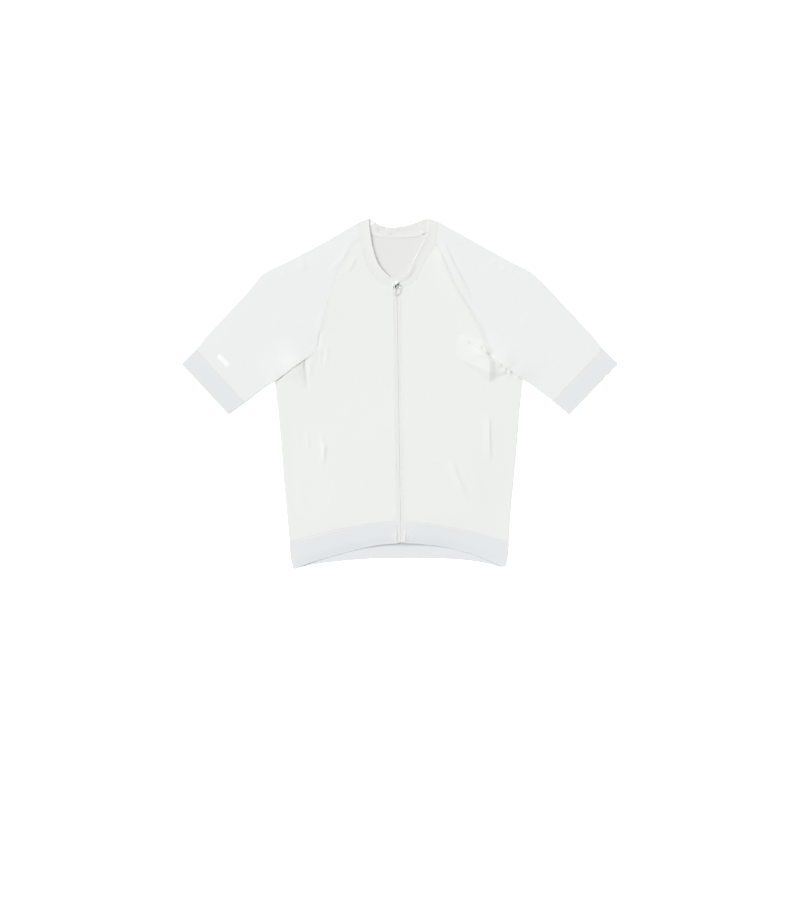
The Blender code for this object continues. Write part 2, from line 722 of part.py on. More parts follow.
def as_mesh(item, parts):
    """The same shape as a welded mesh object."""
    parts.objects.link(item)
    bpy.context.view_layer.update()
    graph = bpy.context.evaluated_depsgraph_get()
    mesh = bpy.data.meshes.new_from_object(item.evaluated_get(graph))
    weld = bmesh.new()
    weld.from_mesh(mesh)
    bmesh.ops.remove_doubles(weld, verts=weld.verts, dist=1e-6)
    weld.to_mesh(mesh)
    weld.free()
    name = item.name
    bpy.data.objects.remove(item)
    return bpy.data.objects.new(name, mesh)


def slider_top():
    return (front_top(PULL_X, SLIDER_Y) + CHAIN_RISE + SEAM) + SLIDER_SIZE[2]


def make_slider(parts, guides):
    """The slider's upper plate, with the wire bridge that holds the pull."""
    top = slider_top()
    plate = block("slider", SLIDER_SIZE, (PULL_X, SLIDER_Y, top - SLIDER_SIZE[2] / 2))
    crown = top + BRIDGE_RISE
    sunk = top - BRIDGE_SINK
    near, far = PULL_AXIS_Y - BRIDGE_HALF, PULL_AXIS_Y + BRIDGE_HALF
    path = [(PULL_X, near, sunk), (PULL_X, near, crown - BRIDGE_CORNER),
            (PULL_X, near + BRIDGE_CORNER, crown), (PULL_X, far - BRIDGE_CORNER, crown),
            (PULL_X, far, crown - BRIDGE_CORNER), (PULL_X, far, sunk)]
    bridge = as_mesh(wire("slider_bridge", path, BRIDGE_WIRE, False), guides)
    guides.objects.link(bridge)
    bridge.hide_render = True
    bridge.display_type = "WIRE"
    join = plate.modifiers.new("bridge", "BOOLEAN")
    join.operation = "UNION"
    join.object = bridge
    return keep(plate, METAL, parts)


def make_pull(parts):
    """A wire loop, straight where it lies under the bridge and round at its far end."""
    axis_z = slider_top() + AXIS_RISE
    inner = PULL_HALF - PULL_CORNER
    outline_points = [(-inner, 0.0), (0.0, 0.0), (inner, 0.0)]
    for i in range(1, CORNER_STEPS + 1):
        angle = math.pi / 2 * i / CORNER_STEPS
        outline_points.append((inner + PULL_CORNER * math.sin(angle),
                               -PULL_CORNER + PULL_CORNER * math.cos(angle)))
    bend_y = PULL_HALF - PULL_REACH
    for i in range(BEND_STEPS + 1):
        angle = math.pi * i / BEND_STEPS
        outline_points.append((PULL_HALF * math.cos(angle), bend_y - PULL_HALF * math.sin(angle)))
    for i in range(CORNER_STEPS):
        angle = math.pi / 2 * i / CORNER_STEPS
        outline_points.append((-inner - PULL_CORNER * math.cos(angle),
                               -PULL_CORNER + PULL_CORNER * math.sin(angle)))
    points = [(PULL_X + x, PULL_AXIS_Y + y * math.cos(PULL_TILT),
               axis_z + y * math.sin(PULL_TILT)) for x, y in outline_points]
    loop = as_mesh(wire("pull", points, PULL_WIRE, True), parts)
    origin = bpy.data.objects.new("pull_hinge", None)
    origin.location = metres((PULL_X, PULL_AXIS_Y, axis_z))
    parts.objects.link(origin)
    loop.parent = origin
    loop.location = [-value for value in origin.location]
    return keep(loop, METAL, parts)


def build():
    for item in list(bpy.data.objects):
        bpy.data.objects.remove(item, do_unlink=True)
    parts = bpy.data.collections.new("cycling_jersey")
    guides = bpy.data.collections.new("cutters")
    for group in (parts, guides):
        bpy.context.scene.collection.children.link(group)

    left = front_rows(SLEEVE_LEFT, COLLAR_LEFT, -1)
    right = front_rows(SLEEVE_RIGHT, COLLAR_RIGHT, 1)
    back = back_rows()
    sheet("front_left", left, BODY_CLOTH, parts)
    sheet("front_right", right, BODY_CLOTH, parts)
    sheet("back", back, BODY_CLOTH, parts, upward=False)
    sheet("rear_pocket", pocket_rows(), BODY_CLOTH, parts, upward=False)

    sheet("sleeve_left", sleeve_rows(SLEEVE_LEFT), SLEEVE_CLOTH, parts)
    sheet("sleeve_right", sleeve_rows(SLEEVE_RIGHT), SLEEVE_CLOTH, parts)
    sheet("cuff_left", cuff_rows(SLEEVE_LEFT, CUFF_LEFT), BAND_CLOTH, parts)
    sheet("cuff_right", cuff_rows(SLEEVE_RIGHT, CUFF_RIGHT), BAND_CLOTH, parts)

    sheet("collar", collar_rows(), COLLAR_CLOTH, parts)
    sheet("zip_garage", garage_rows(), COLLAR_CLOTH, parts)
    hem = hem_front(left[0], -1) + hem_fold(-1) + hem_back(back[0])
    hem += hem_fold(1)[::-1] + hem_front(right[0], 1)[::-1]
    sheet("hem_band", hem, BAND_CLOTH, parts)

    low, high = BOX_Y + BOX_SIZE[1] / 2 + SEAM, ZIP_HEAD[1] - TAPE_SHORT
    gap = CHAIN_HALF + SEAM
    edge = ZIP_HALF - SEAM / 2
    sheet("zip_tape_left", strip_rows(-edge, -gap, low, high, 0.0), TAPE_CLOTH, parts)
    sheet("zip_tape_right", strip_rows(gap, edge, low, high, 0.0), TAPE_CLOTH, parts)
    chain = strip_rows(-CHAIN_HALF, CHAIN_HALF, low, high - CHAIN_SHORT, CHAIN_RISE)
    sheet("zip_chain", chain, TEETH, parts, wall=WALL + CHAIN_RISE)
    middle_z = WALL + BOX_GAP + BOX_SIZE[2] / 2
    keep(block("zip_box", BOX_SIZE, (zip_x(BOX_Y), BOX_Y, middle_z)), TEETH, parts)
    make_slider(parts, guides)
    make_pull(parts)


build()
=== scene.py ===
"""Looks of a short-sleeved full-zip cycling jersey, laid flat with its front up."""

import math

import bmesh
import bpy
import numpy as np
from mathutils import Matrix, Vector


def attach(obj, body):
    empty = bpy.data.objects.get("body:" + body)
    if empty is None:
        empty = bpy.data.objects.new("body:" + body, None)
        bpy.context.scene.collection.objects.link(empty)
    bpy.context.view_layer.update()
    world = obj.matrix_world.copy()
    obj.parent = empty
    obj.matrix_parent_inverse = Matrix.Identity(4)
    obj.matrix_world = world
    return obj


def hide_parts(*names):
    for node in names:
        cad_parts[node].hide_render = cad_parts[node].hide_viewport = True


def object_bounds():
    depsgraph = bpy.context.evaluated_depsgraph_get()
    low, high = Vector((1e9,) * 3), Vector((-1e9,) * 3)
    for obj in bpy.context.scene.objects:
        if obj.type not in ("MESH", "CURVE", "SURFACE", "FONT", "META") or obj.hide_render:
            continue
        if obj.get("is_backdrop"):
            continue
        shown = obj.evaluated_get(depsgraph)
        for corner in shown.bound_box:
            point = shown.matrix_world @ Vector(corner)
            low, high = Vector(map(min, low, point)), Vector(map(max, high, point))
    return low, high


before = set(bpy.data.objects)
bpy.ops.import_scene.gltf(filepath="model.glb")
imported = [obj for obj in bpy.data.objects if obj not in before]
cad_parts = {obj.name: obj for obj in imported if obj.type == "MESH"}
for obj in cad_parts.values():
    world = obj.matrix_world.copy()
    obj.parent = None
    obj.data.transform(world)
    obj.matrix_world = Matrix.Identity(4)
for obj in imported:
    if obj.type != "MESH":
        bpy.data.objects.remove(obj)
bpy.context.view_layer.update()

# ---- Studio -------------------------------------------------------------------------
# A white sweep seen from straight above through a long lens, lit by white surroundings
# and by two soft far lamps, one at the left and one beyond the collar.
VIEW_CENTRE = (0.0005, -0.1109)
VIEW_LENGTH = 1.755             # length of the floor in view, along the picture's long side
CAMERA_RISE = 8.0
SENSOR = 36.0
SKY = 0.45
LAMPS = (                       # direction towards the lamp, power, apparent width
    ((-0.92, 0.12, 0.6), 1.9, math.radians(30)),
    ((0.1, 0.95, 0.62), 1.3, math.radians(26)),
)
FLOOR_HALF = 4.0
FLOOR_DROP = 0.0002
FLOOR_WHITE = (0.93, 0.93, 0.93, 1.0)
FLOOR_GLOW = 0.95

scene = bpy.context.scene
scene.view_settings.view_transform = "Standard"


def in_scene(name, data):
    """An object of the scene that holds some data."""
    thing = bpy.data.objects.new(name, data)
    scene.collection.objects.link(thing)
    return thing


lens = bpy.data.cameras.new("camera")
lens.sensor_width = SENSOR
lens.lens = SENSOR * CAMERA_RISE / VIEW_LENGTH
lens.clip_end = 4 * CAMERA_RISE
scene.camera = in_scene("camera", lens)
scene.camera.location = (*VIEW_CENTRE, CAMERA_RISE)

scene.world = bpy.data.worlds.new("white_surroundings")
scene.world.use_nodes = True
sky = scene.world.node_tree.nodes["Background"].inputs
sky["Color"].default_value = (1.0, 1.0, 1.0, 1.0)
sky["Strength"].default_value = SKY

for toward, power, width in LAMPS:
    lamp = bpy.data.lights.new("far_lamp", "SUN")
    lamp.energy = power
    lamp.angle = width
    holder = in_scene("far_lamp", lamp)
    holder.location = toward
    holder.rotation_euler = holder.location.to_track_quat("Z", "Y").to_euler()


class Wire:
    """A socket of a material; Python arithmetic on it adds Math nodes."""

    def __init__(self, finish, socket):
        self.finish = finish
        self.socket = socket

    def maths(self, operation, *values):
        return self.finish.add("Math", {"operation": operation}, dict(enumerate(values)))

    def __add__(self, other):
        return self.maths("ADD", self, other)

    def __mul__(self, other):
        return self.maths("MULTIPLY", self, other)

    __radd__ = __add__
    __rmul__ = __mul__


class Finish:
    """A material in the making."""

    def __init__(self, name):
        self.material = bpy.data.materials.new(name)
        self.material.use_nodes = True
        self.tree = self.material.node_tree
        self.shader = self.tree.nodes["Principled BSDF"]

    def add(self, kind, settings, inputs, output=0):
        """A node of a kind, its settings made first, then its sockets' values or wires."""
        node = self.tree.nodes.new("ShaderNode" + kind)
        for key, value in settings.items():
            setattr(node, key, value)
        self.feed(node, inputs)
        return Wire(self, node.outputs[output])

    def feed(self, node, inputs):
        for key, value in inputs.items():
            if isinstance(value, Wire):
                self.tree.links.new(value.socket, node.inputs[key])
            else:
                node.inputs[key].default_value = value

    def blend(self, factor, low, high):
        """A colour between two, by a wire from 0 to 1."""
        values = {"Factor": factor, 6: (*low, 1.0), 7: (*high, 1.0)}
        return self.add("Mix", {"data_type": "RGBA"}, values, 2)

    def noise(self, scale, detail=2.0):
        values = {"Vector": self.add("TexCoord", {}, {}, 3), "Scale": scale, "Detail": detail}
        return self.add("TexNoise", {}, values)

    def bump(self, height, strength, rise):
        """A normal from a height; rise is in millimetres."""
        values = {"Strength": strength, "Distance": rise * MM, "Height": height}
        return self.add("Bump", {}, values)

    def wave(self, value, length):
        """A sine from 0 to 1 along a wire that counts metres."""
        turns = value * (2 * math.pi / length)
        return turns.maths("SINE", turns) * 0.5 + 0.5


sweep = Finish("white_sweep")
sweep.feed(sweep.shader, {
    "Base Color": FLOOR_WHITE,
    "Roughness": sweep.noise(3.0) * 0.05 + 0.9,
    "Emission Color": FLOOR_WHITE,
    "Emission Strength": FLOOR_GLOW,
})
bpy.ops.mesh.primitive_plane_add(size=2 * FLOOR_HALF, location=(0, 0, -FLOOR_DROP))
floor = bpy.context.object
floor.name = "floor"
floor.data.materials.append(sweep.material)
floor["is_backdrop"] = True

# ---- Rear pocket --------------------------------------------------------------------
# One wide patch of the body cloth under the back, turned over at its top edge and sewn
# into three compartments; its lower edge goes into the hem seam.
MM = 0.001
MIDDLE = (-0.5, 0.75)           # middle of the outline in the tables, moved to the origin
CLOTH = 0.7                     # thickness of the knit
GRID = 2.7                      # distance between points of a large panel
EDGE_ROWS = (0.0, 0.15, 0.3, 0.5, 0.75)   # closer rows at a panel's edges, in grid steps
ROUND = 0.35                    # how far a cut edge rounds out, in walls

# Sides of the body from the hem to the sleeve: y, left x, right x, how far the edge curls.
SIDE_SECTIONS = (
    (-291, -215.8, 212.4, 1), (-262, -218.4, 213.6, 1), (-232, -221.2, 216, 1),
    (-200, -224, 218.7, 1), (-166, -227.2, 222, 1), (-132, -229.8, 225.2, 1),
    (-98, -232.4, 228.2, 1), (-70, -235, 230.5, 1), (-50, -236.6, 232.1, 1), (-34, -238, 233.5, 1),
    (-14, -240.6, 235.6, 1), (2, -242.2, 237.1, 1), (14, -243.2, 238.1, 0.6),
)
HEM_BACK_SEAM = (-274.0, 17.0, 214.0, 4.0)   # y in the middle, drop, half width, power
POCKET_SHARE = 0.775            # half width, as a share of the body's half width
POCKET_TOP = -56.0
POCKET_FOOT = -280.0
POCKET_SPLIT = 0.26             # shares of the half width where the compartments meet
POCKET_TURN = 9.0               # width of the turned top edge
POCKET_GROOVE = 0.35
POCKET_ROWS = 84
POCKET_COLUMNS = 128
POCKET_RIM = 0.985              # share of the half width from which columns lie closer
BODY_LIGHT = (0.853, 0.874, 0.849)
BODY_DARK = (0.833, 0.859, 0.834)


def metres(points):
    return (np.asarray(points, float) - (*MIDDLE, 0.0)) * MM


def smooth(low, high, value):
    """Smooth step from 0 at low to 1 at high; low may be the larger."""
    t = np.clip((value - low) / (high - low), 0.0, 1.0)
    return t * t * (3 - 2 * t)


def between(low, high, t):
    return low * (1 - t) + high * t


def bell(distance, half):
    """1 in the middle, fading on both sides."""
    return np.exp(-(distance / half) ** 2)


def arch(values, x):
    """Height of one long edge of the hem band."""
    middle, drop, half, power = values
    return middle - drop * (np.abs(x) / half) ** power


def side_x(y, side):
    sections = np.array(SIDE_SECTIONS)
    return np.interp(y, sections[:, 0], sections[:, 1 if side < 0 else 2])


def crowded(rows):
    """The same rows of a table, with more of them close to both ends."""
    near = np.array(EDGE_ROWS)
    last = len(rows) - 1
    places = np.concatenate((near, np.arange(1, last), last - near[::-1]))
    low = np.minimum(places.astype(int), last - 1)
    return between(rows[low], rows[low + 1], (places - low)[:, None])


def spread(start, count):
    """Shares from start to 1, closer together at both ends."""
    return crowded(np.linspace(start, 1.0, count + 1)[:, None])[:, 0]


def run(grid, axis):
    """Distance along a grid of points, from its first row or column."""
    steps = np.linalg.norm(np.diff(grid, axis=axis), axis=2)
    total = np.cumsum(steps, axis=axis)
    start = np.zeros_like(total[:1] if axis == 0 else total[:, :1])
    return np.concatenate((start, total), axis=axis)


def piece_of(name, mesh, nodes=(), body="garment"):
    """A piece from a mesh, in place of the nodes that are named."""
    piece = in_scene(name, mesh)
    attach(piece, body)
    if nodes:
        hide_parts(*nodes)
    return piece


def cloth(name, grid, material, nodes, wall=CLOTH, upward=True, inside=None):
    """A thin wall of cloth from a grid of points on its outer face, in millimetres.

    The cut edges are rounded. The map called cloth counts metres across and along it.
    inside is the finish of the inner face where it differs.
    """
    rows, columns, _ = grid.shape
    across = np.gradient(grid, axis=1)
    along = np.gradient(grid, axis=0)
    normal = np.cross(across, along)
    if (normal[0, 0, 2] > 0) != upward:
        normal = -normal
    normal /= np.linalg.norm(normal, axis=2, keepdims=True)
    inner = grid - normal * wall
    count = rows * columns
    order = np.arange(count).reshape(rows, columns)
    loop = np.concatenate((order[0, :-1], order[:-1, -1], order[-1, :0:-1], order[:0:-1, 0]))
    flat = np.concatenate((grid.reshape(-1, 3), inner.reshape(-1, 3)))
    middle = (flat[loop] + flat[loop + count]) / 2
    out = np.roll(middle, -1, axis=0) - np.roll(middle, 1, axis=0)
    out = np.cross(out, normal.reshape(-1, 3)[loop])
    out /= np.linalg.norm(out, axis=1, keepdims=True)
    centre = grid.reshape(-1, 3).mean(axis=0)
    if np.sum(out * (middle - centre)) < 0:
        out = -out
    flat = np.concatenate((flat, middle + out * wall * ROUND))
    ring = 2 * count + np.arange(len(loop))
    quads = np.stack((order[:-1, :-1], order[:-1, 1:], order[1:, 1:], order[1:, :-1]), -1)
    quads = quads.reshape(-1, 4)
    after = np.roll(loop, -1)
    ring_after = np.roll(ring, -1)
    faces = np.concatenate((quads, quads[:, ::-1] + count,
                            np.stack((after, loop, ring, ring_after), -1),
                            np.stack((ring_after, ring, loop + count, after + count), -1)))
    first = grid[[0, 0, 1], [0, 1, 1]]
    facing = np.cross(first[1] - first[0], first[2] - first[0])[2] > 0
    if facing != upward:
        faces = faces[:, ::-1]
    mesh = bpy.data.meshes.new(name)
    mesh.from_pydata(metres(flat).tolist(), [], faces.tolist())
    u, v = run(grid, 1).reshape(-1) * MM, run(grid, 0).reshape(-1) * MM
    u, v = np.concatenate((u, u, u[loop])), np.concatenate((v, v, v[loop]))
    layer = mesh.uv_layers.new(name="cloth")
    corners = faces.reshape(-1)
    layer.data.foreach_set("uv", np.stack((u[corners], v[corners]), -1).reshape(-1))
    mesh.shade_smooth()
    mesh.materials.append(material)
    if inside:
        mesh.materials.append(inside)
        inner_face = np.zeros(len(faces), np.int32)
        inner_face[len(quads):2 * len(quads)] = 1
        mesh.polygons.foreach_set("material_index", inner_face)
    return piece_of(name, mesh, nodes)


def knit(name, light, dark, wale=0.9, relief=0.05, roughness=0.82, rib=None):
    """Fine knitted cloth: rows of small loops, a cloudy tone and a little nap.

    wale is the loops' pitch and relief their height in millimetres; rib, where given, is
    the pitch of straight raised lines along the cloth.
    """
    finish = Finish(name)
    thread = finish.add("UVMap", {"uv_map": "cloth"}, {})
    u = finish.add("SeparateXYZ", {}, {0: thread}, 0)
    v = finish.add("SeparateXYZ", {}, {0: thread}, 1)
    cloud = finish.noise(9.0, 4.0)
    fleck = finish.noise(420.0)
    loops = finish.wave(u, wale * MM) * finish.wave(v, wale * 0.8 * MM)
    height = loops * 0.7 + fleck * 0.6
    tone = cloud * 0.75 + fleck * 0.25
    if rib:
        lines = finish.wave(v, rib * MM)
        height = height * 0.5 + lines
        tone = tone * 0.7 + lines * 0.3
    finish.feed(finish.shader, {
        "Base Color": finish.blend(tone, dark, light),
        "Roughness": cloud * 0.08 + (roughness - 0.04),
        "Normal": finish.bump(height, 0.55, relief),
        "Sheen Weight": 0.12,
        "Sheen Roughness": 0.5,
        "Specular IOR Level": 0.25,
    })
    return finish.material


body_cloth = knit("body_knit", BODY_LIGHT, BODY_DARK)

rim = np.linspace(POCKET_RIM, 1, 4)[1:]
shares = np.linspace(-POCKET_RIM, POCKET_RIM, POCKET_COLUMNS)
shares = np.concatenate((-rim[::-1], shares, rim)) * POCKET_SHARE
level, share = np.meshgrid(np.linspace(0.0, 1.0, POCKET_ROWS), shares, indexing="ij")
height = between(POCKET_FOOT, POCKET_TOP, level)
x = np.abs(share) * np.where(share < 0, side_x(height, -1), side_x(height, 1))
y = between(arch(HEM_BACK_SEAM, x), POCKET_TOP, level)
split = np.abs(np.abs(share) - POCKET_SPLIT) * 220.0
turn = np.abs(y - POCKET_TOP + POCKET_TURN)
rise = bell(split, 1.6) + bell(turn, 1.2)
pocket_grid = np.stack((x, y, POCKET_GROOVE * np.minimum(rise, 1.0)), -1)
rear_pocket = cloth("pocket_patch", pocket_grid, body_cloth, ["rear_pocket"],
                    upward=False)

# ---- Seams' thread ------------------------------------------------------------------
# Rows of short machine stitches in a pale thread along the seams, each stitch a small
# bow of thread whose ends go down into the cloth.
THREAD = 0.15                   # radius
STITCH = 2.6                    # pitch along a seam
STITCH_SHARE = 0.84
STITCH_SIDES = 5
STITCH_STEPS = 3
STITCH_LIFT = 0.04              # of its middle line off the cloth
STITCH_BOW = 1.6                # rise of its middle, in radii
THREAD_LIGHT = (0.86, 0.87, 0.855)
THREAD_DARK = (0.76, 0.78, 0.77)


def speckled(name, light, dark, scale, roughness, spread, relief, detail=2.0, metallic=None):
    """A smooth finish with fine specks in its tone, its gloss and its relief.

    relief is the strength of the bumps and their height in millimetres.
    """
    finish = Finish(name)
    speck = finish.noise(scale, detail)
    finish.feed(finish.shader, {
        "Base Color": finish.blend(speck, dark, light),
        "Roughness": speck * spread + roughness,
        "Normal": finish.bump(speck, *relief),
    })
    if metallic is not None:
        finish.feed(finish.shader, {"Metallic": speck * 0.1 + metallic})
    return finish.material


def bow_rows(name, sides, steps, material):
    """A Geometry Nodes tree that sets a bowed thread at each step of a path, its X along it.

    It comes with the keys of its inputs: the pitch, the thread and the bow's three points.
    """
    tree = bpy.data.node_groups.new(name, "GeometryNodeTree")
    tree.interface.new_socket("Geometry", in_out="INPUT", socket_type="NodeSocketGeometry")
    keys = {}
    for size, kind in (("Pitch", "Float"), ("Thread", "Float"), ("Start", "Vector"),
                       ("Middle", "Vector"), ("End", "Vector")):
        item = tree.interface.new_socket(size, in_out="INPUT", socket_type="NodeSocket" + kind)
        keys[size] = item.identifier
    tree.interface.new_socket("Geometry", in_out="OUTPUT", socket_type="NodeSocketGeometry")
    source = tree.nodes.new("NodeGroupInput").outputs

    def add(kind, inputs, **settings):
        node = tree.nodes.new(kind)
        for key, value in settings.items():
            setattr(node, key, value)
        for key, value in inputs.items():
            if isinstance(value, bpy.types.NodeSocket):
                tree.links.new(value, node.inputs[key])
            else:
                node.inputs[key].default_value = value
        return node.outputs[0]

    bow = add("GeometryNodeCurveQuadraticBezier", {
        "Resolution": steps, "Start": source["Start"], "Middle": source["Middle"],
        "End": source["End"]})
    ring = add("GeometryNodeCurvePrimitiveCircle",
               {"Resolution": sides, "Radius": source["Thread"]})
    stitch = add("GeometryNodeCurveToMesh", {"Curve": bow, "Profile Curve": ring})
    path = add("GeometryNodeMeshToCurve", {"Mesh": source["Geometry"]})
    even = add("GeometryNodeResampleCurve", {"Curve": path, "Length": source["Pitch"]},
               mode="LENGTH")
    ahead = add("GeometryNodeInputTangent", {})
    turned = add("FunctionNodeAlignRotationToVector", {"Vector": ahead}, axis="X",
                 pivot_axis="Z")
    placed = add("GeometryNodeInstanceOnPoints",
                 {"Points": even, "Instance": stitch, "Rotation": turned})
    real = add("GeometryNodeRealizeInstances", {"Geometry": placed})
    rounded = add("GeometryNodeSetShadeSmooth", {"Geometry": real})
    painted = add("GeometryNodeSetMaterial", {"Geometry": rounded, "Material": material})
    tree.links.new(painted, tree.nodes.new("NodeGroupOutput").inputs[0])
    return tree, keys


def grown(name, paths, rows, sizes):
    """A plain mesh piece that a tree makes along paths of points in millimetres."""
    points = metres(np.concatenate(paths))
    edges, start = [], 0
    for path in paths:
        edges += [(start + i, start + i + 1) for i in range(len(path) - 1)]
        start += len(path)
    line = bpy.data.meshes.new(name)
    line.from_pydata(points.tolist(), edges, [])
    guide = in_scene(name + "_line", line)
    maker = guide.modifiers.new("maker", "NODES")
    maker.node_group, keys = rows
    for size, value in sizes.items():
        maker[keys[size]] = (np.array(value) * MM).tolist()
    bpy.context.view_layer.update()
    graph = bpy.context.evaluated_depsgraph_get()
    mesh = bpy.data.meshes.new_from_object(guide.evaluated_get(graph))
    bpy.data.objects.remove(guide)
    return piece_of(name, mesh)


thread_finish = speckled("sewing_thread", THREAD_LIGHT, THREAD_DARK, 2600.0, 0.5, 0.2,
                         (0.4, 0.03), 1.0)
stitch_rows = bow_rows("stitch_rows", STITCH_SIDES, STITCH_STEPS, thread_finish)


def sewn(name, paths, pitch=STITCH, below=False):
    """Rows of stitches along paths on the upper side of the cloth, or below it."""
    lift, rise = (-STITCH_LIFT, -THREAD) if below else (STITCH_LIFT, THREAD)
    half = pitch * STITCH_SHARE / 2
    paths = [np.asarray(path) + (0.0, 0.0, lift) for path in paths]
    sizes = {"Pitch": pitch, "Thread": THREAD, "Start": (-half, 0.0, -rise),
             "Middle": (0.0, 0.0, STITCH_BOW * rise), "End": (half, 0.0, -rise)}
    return grown(name, paths, stitch_rows, sizes)


def nearest(values, place):
    return int(np.argmin(np.abs(values - place)))


top_row = nearest(pocket_grid[:, len(shares) // 2, 1], POCKET_TOP - POCKET_TURN)
pocket_paths = [pocket_grid[2:top_row, nearest(shares, side * POCKET_SPLIT)]
                for side in (-1, 1)]
pocket_paths.append(pocket_grid[top_row, 1:-1])
sewn("pocket_stitches", pocket_paths, below=True)

# ---- Back ---------------------------------------------------------------------------
# One panel of fine knit from collar to hem. It lies on the surface, curls up at the side
# seams to meet the fronts, and shows its inner face through the neck. That face is a
# little darker: partly the knit's wrong side, partly painted shade of the neck opening.
FOLD_R = 1.35                   # outer radius where cloth turns over at a fold or side seam
CURL_STEPS = 6
CURL_ANGLE = math.radians(78)
SEAM = 0.3
SEWN_GAP = 0.03                 # between two pieces where they are sewn together
SEWN_DEPTH = 0.12               # of the groove along a sewn edge
BACK_GRID = 3.2                 # distance between points of the back
BACK_FINE_FROM = 0.97           # share of a panel's width from which its columns lie closer
FINE_STEP = 0.4                 # and their distance, in grid steps
POCKET_LIFT = 1.3               # the pocket under the back raises what lies on it
BACK_LIFT = ((0.88, 0.80), (-34.0, -50.0), (-302.0, -282.0))   # across, top, foot
HEM_BOW = (-150.0, -291.0)      # rows between these heights bend towards the hem seam
BACK_BOW = (190.0, 318.0)
# Inner face tone: partly the knit's wrong side, partly painted shade of the neck opening.
WRONG_SIDE_AND_SHADE_LIGHT = (0.818, 0.822, 0.805)
WRONG_SIDE_AND_SHADE_DARK = (0.802, 0.806, 0.79)

# Sleeves from the collar to the cuff seam: front x, front y, fold x, fold y, back x,
# back y, and how far the underarm edge curls.
SLEEVE_LEFT = (
    (-77.4, 302, -79.6, 335, -64, 318, 0), (-95, 288, -109, 318, -78, 296, 0),
    (-106, 268, -140, 299.9, -92, 268, 0), (-117, 246, -172, 282.8, -106, 238, 0),
    (-127, 222, -203, 266.2, -121, 206, 0), (-137, 186, -236, 250, -136, 174, 0),
    (-147, 152, -262, 238, -150, 144, 0), (-158, 114, -275, 227, -162, 116, 0),
    (-165, 82, -286, 212.4, -171, 90, 0.1), (-184.6, 66.6, -299.4, 196.6, -188, 71.4, 0.15),
    (-204.3, 52.2, -313, 181.6, -209, 58.8, 0.15), (-224, 37.8, -327, 166.6, -227.6, 42.6, 0.15),
    (-243.8, 23.4, -341.3, 151.2, -244.3, 23.9, 0.2), (-262, 12.4, -356, 135.6, -262, 12.4, 1),
    (-283, -3.6, -376, 114.4, -283, -3.6, 1), (-302, -18.6, -397.6, 87.2, -302, -18.6, 1),
)
SLEEVE_RIGHT = (
    (70.6, 292, 75.8, 335, 60, 318, 0), (80, 270, 109, 317, 74, 296, 0),
    (90, 246, 140, 299.6, 88, 268, 0), (103, 215, 172, 281.8, 102, 238, 0),
    (122, 184, 203, 264.4, 118, 206, 0), (139, 156, 233, 249, 135, 174, 0),
    (154, 128, 253, 238.6, 152, 144, 0), (166, 101, 268, 226.4, 168, 116, 0),
    (176.7, 73.6, 283, 211.4, 182, 86, 0.1), (192.2, 60.8, 297, 197.2, 195.8, 65.6, 0.15),
    (207.8, 49.7, 311, 181.6, 212.6, 56.4, 0.15), (223.3, 38.5, 325, 166.6, 226.8, 43.2, 0.15),
    (238.9, 27.3, 339.4, 151.2, 239.5, 27.9, 0.2), (257, 15.4, 354, 135.6, 257, 15.4, 1),
    (278, 0.2, 374, 114.4, 278, 0.2, 1), (298.6, -16, 396.4, 87.2, 298.6, -16, 1),
)
RAGLAN_END = 8                  # last row whose front end is on the raglan seam
TUCK_END = 12                   # last row that lies over the body

# Back collar from the left shoulder to the right: seam x, seam y, top x, top y.
COLLAR_BACK = (
    (-79.6, 335, -60.6, 342.6), (-64, 318, -52, 337), (-51, 309.6, -41, 329.6),
    (-36, 306.4, -30, 325.4), (-16, 305.6, -14, 324), (4, 305.6, 6, 325.8), (22, 306.4, 22, 330.2),
    (40, 309, 36, 335.2), (60, 318, 48, 340), (75.8, 335, 55.6, 342.6),
)

# Folds of the under side, as shallow rises of the cloth off the surface.
UNDER_FOLDS = (
    (0.5, 4, 7, -96, 262, -112, 226, -128, 176), (0.6, 5, 8, -140, 150, -146, 118, -160, 84),
    (0.6, 7, 4, -170, 60, -184, 44, -204, 16), (0.5, 6, 9, -204, 12, -210, -12, -222, -44),
    (0.5, 7, 4, 92, 256, 112, 222, 124, 178), (0.6, 8, 5, 138, 150, 144, 116, 162, 78),
    (0.6, 4, 7, 172, 56, 184, 44, 206, 22), (0.4, 8, 5, 206, -8, 208, -36, 214, -70),
    (0.4, 10, 6, -60, 214, -8, 206, 46, 196), (0.3, 5, 8, -38, 288, -44, 272, -60, 252),
    (0.3, 7, 5, 30, 290, 42, 270, 62, 244), (0.5, 6, 10, -210, 220, -246, 186, -276, 130),
    (0.5, 7, 5, -262, 60, -284, 74, -310, 96), (0.5, 9, 6, 214, 214, 246, 180, 268, 128),
    (0.5, 5, 8, 262, 62, 280, 78, 306, 94), (0.3, 10, 6, -120, 40, -112, 0, -118, -38),
    (0.3, 6, 11, 86, 60, 94, 22, 84, -30),
)


def refine(table, gap, columns=(0, 1)):
    """Rows of a table joined by smooth curves and about gap apart.

    A last column is added that counts the table's own rows.
    """
    rows = np.array(table, float)
    ends = np.vstack((2 * rows[0] - rows[1], rows, 2 * rows[-1] - rows[-2]))
    made = []
    for i in range(len(rows) - 1):
        a, b, c, d = ends[i:i + 4]
        count = max(1, round(float(np.linalg.norm((c - b)[list(columns)])) / gap))
        for t in np.arange(count) / count:
            value = (2 * b + (c - a) * t + (2 * a - 5 * b + 4 * c - d) * t ** 2
                     + (3 * b - a - 3 * c + d) * t ** 3) / 2
            made.append((*value, i + t))
    made.append((*rows[-1], len(rows) - 1))
    return np.array(made)


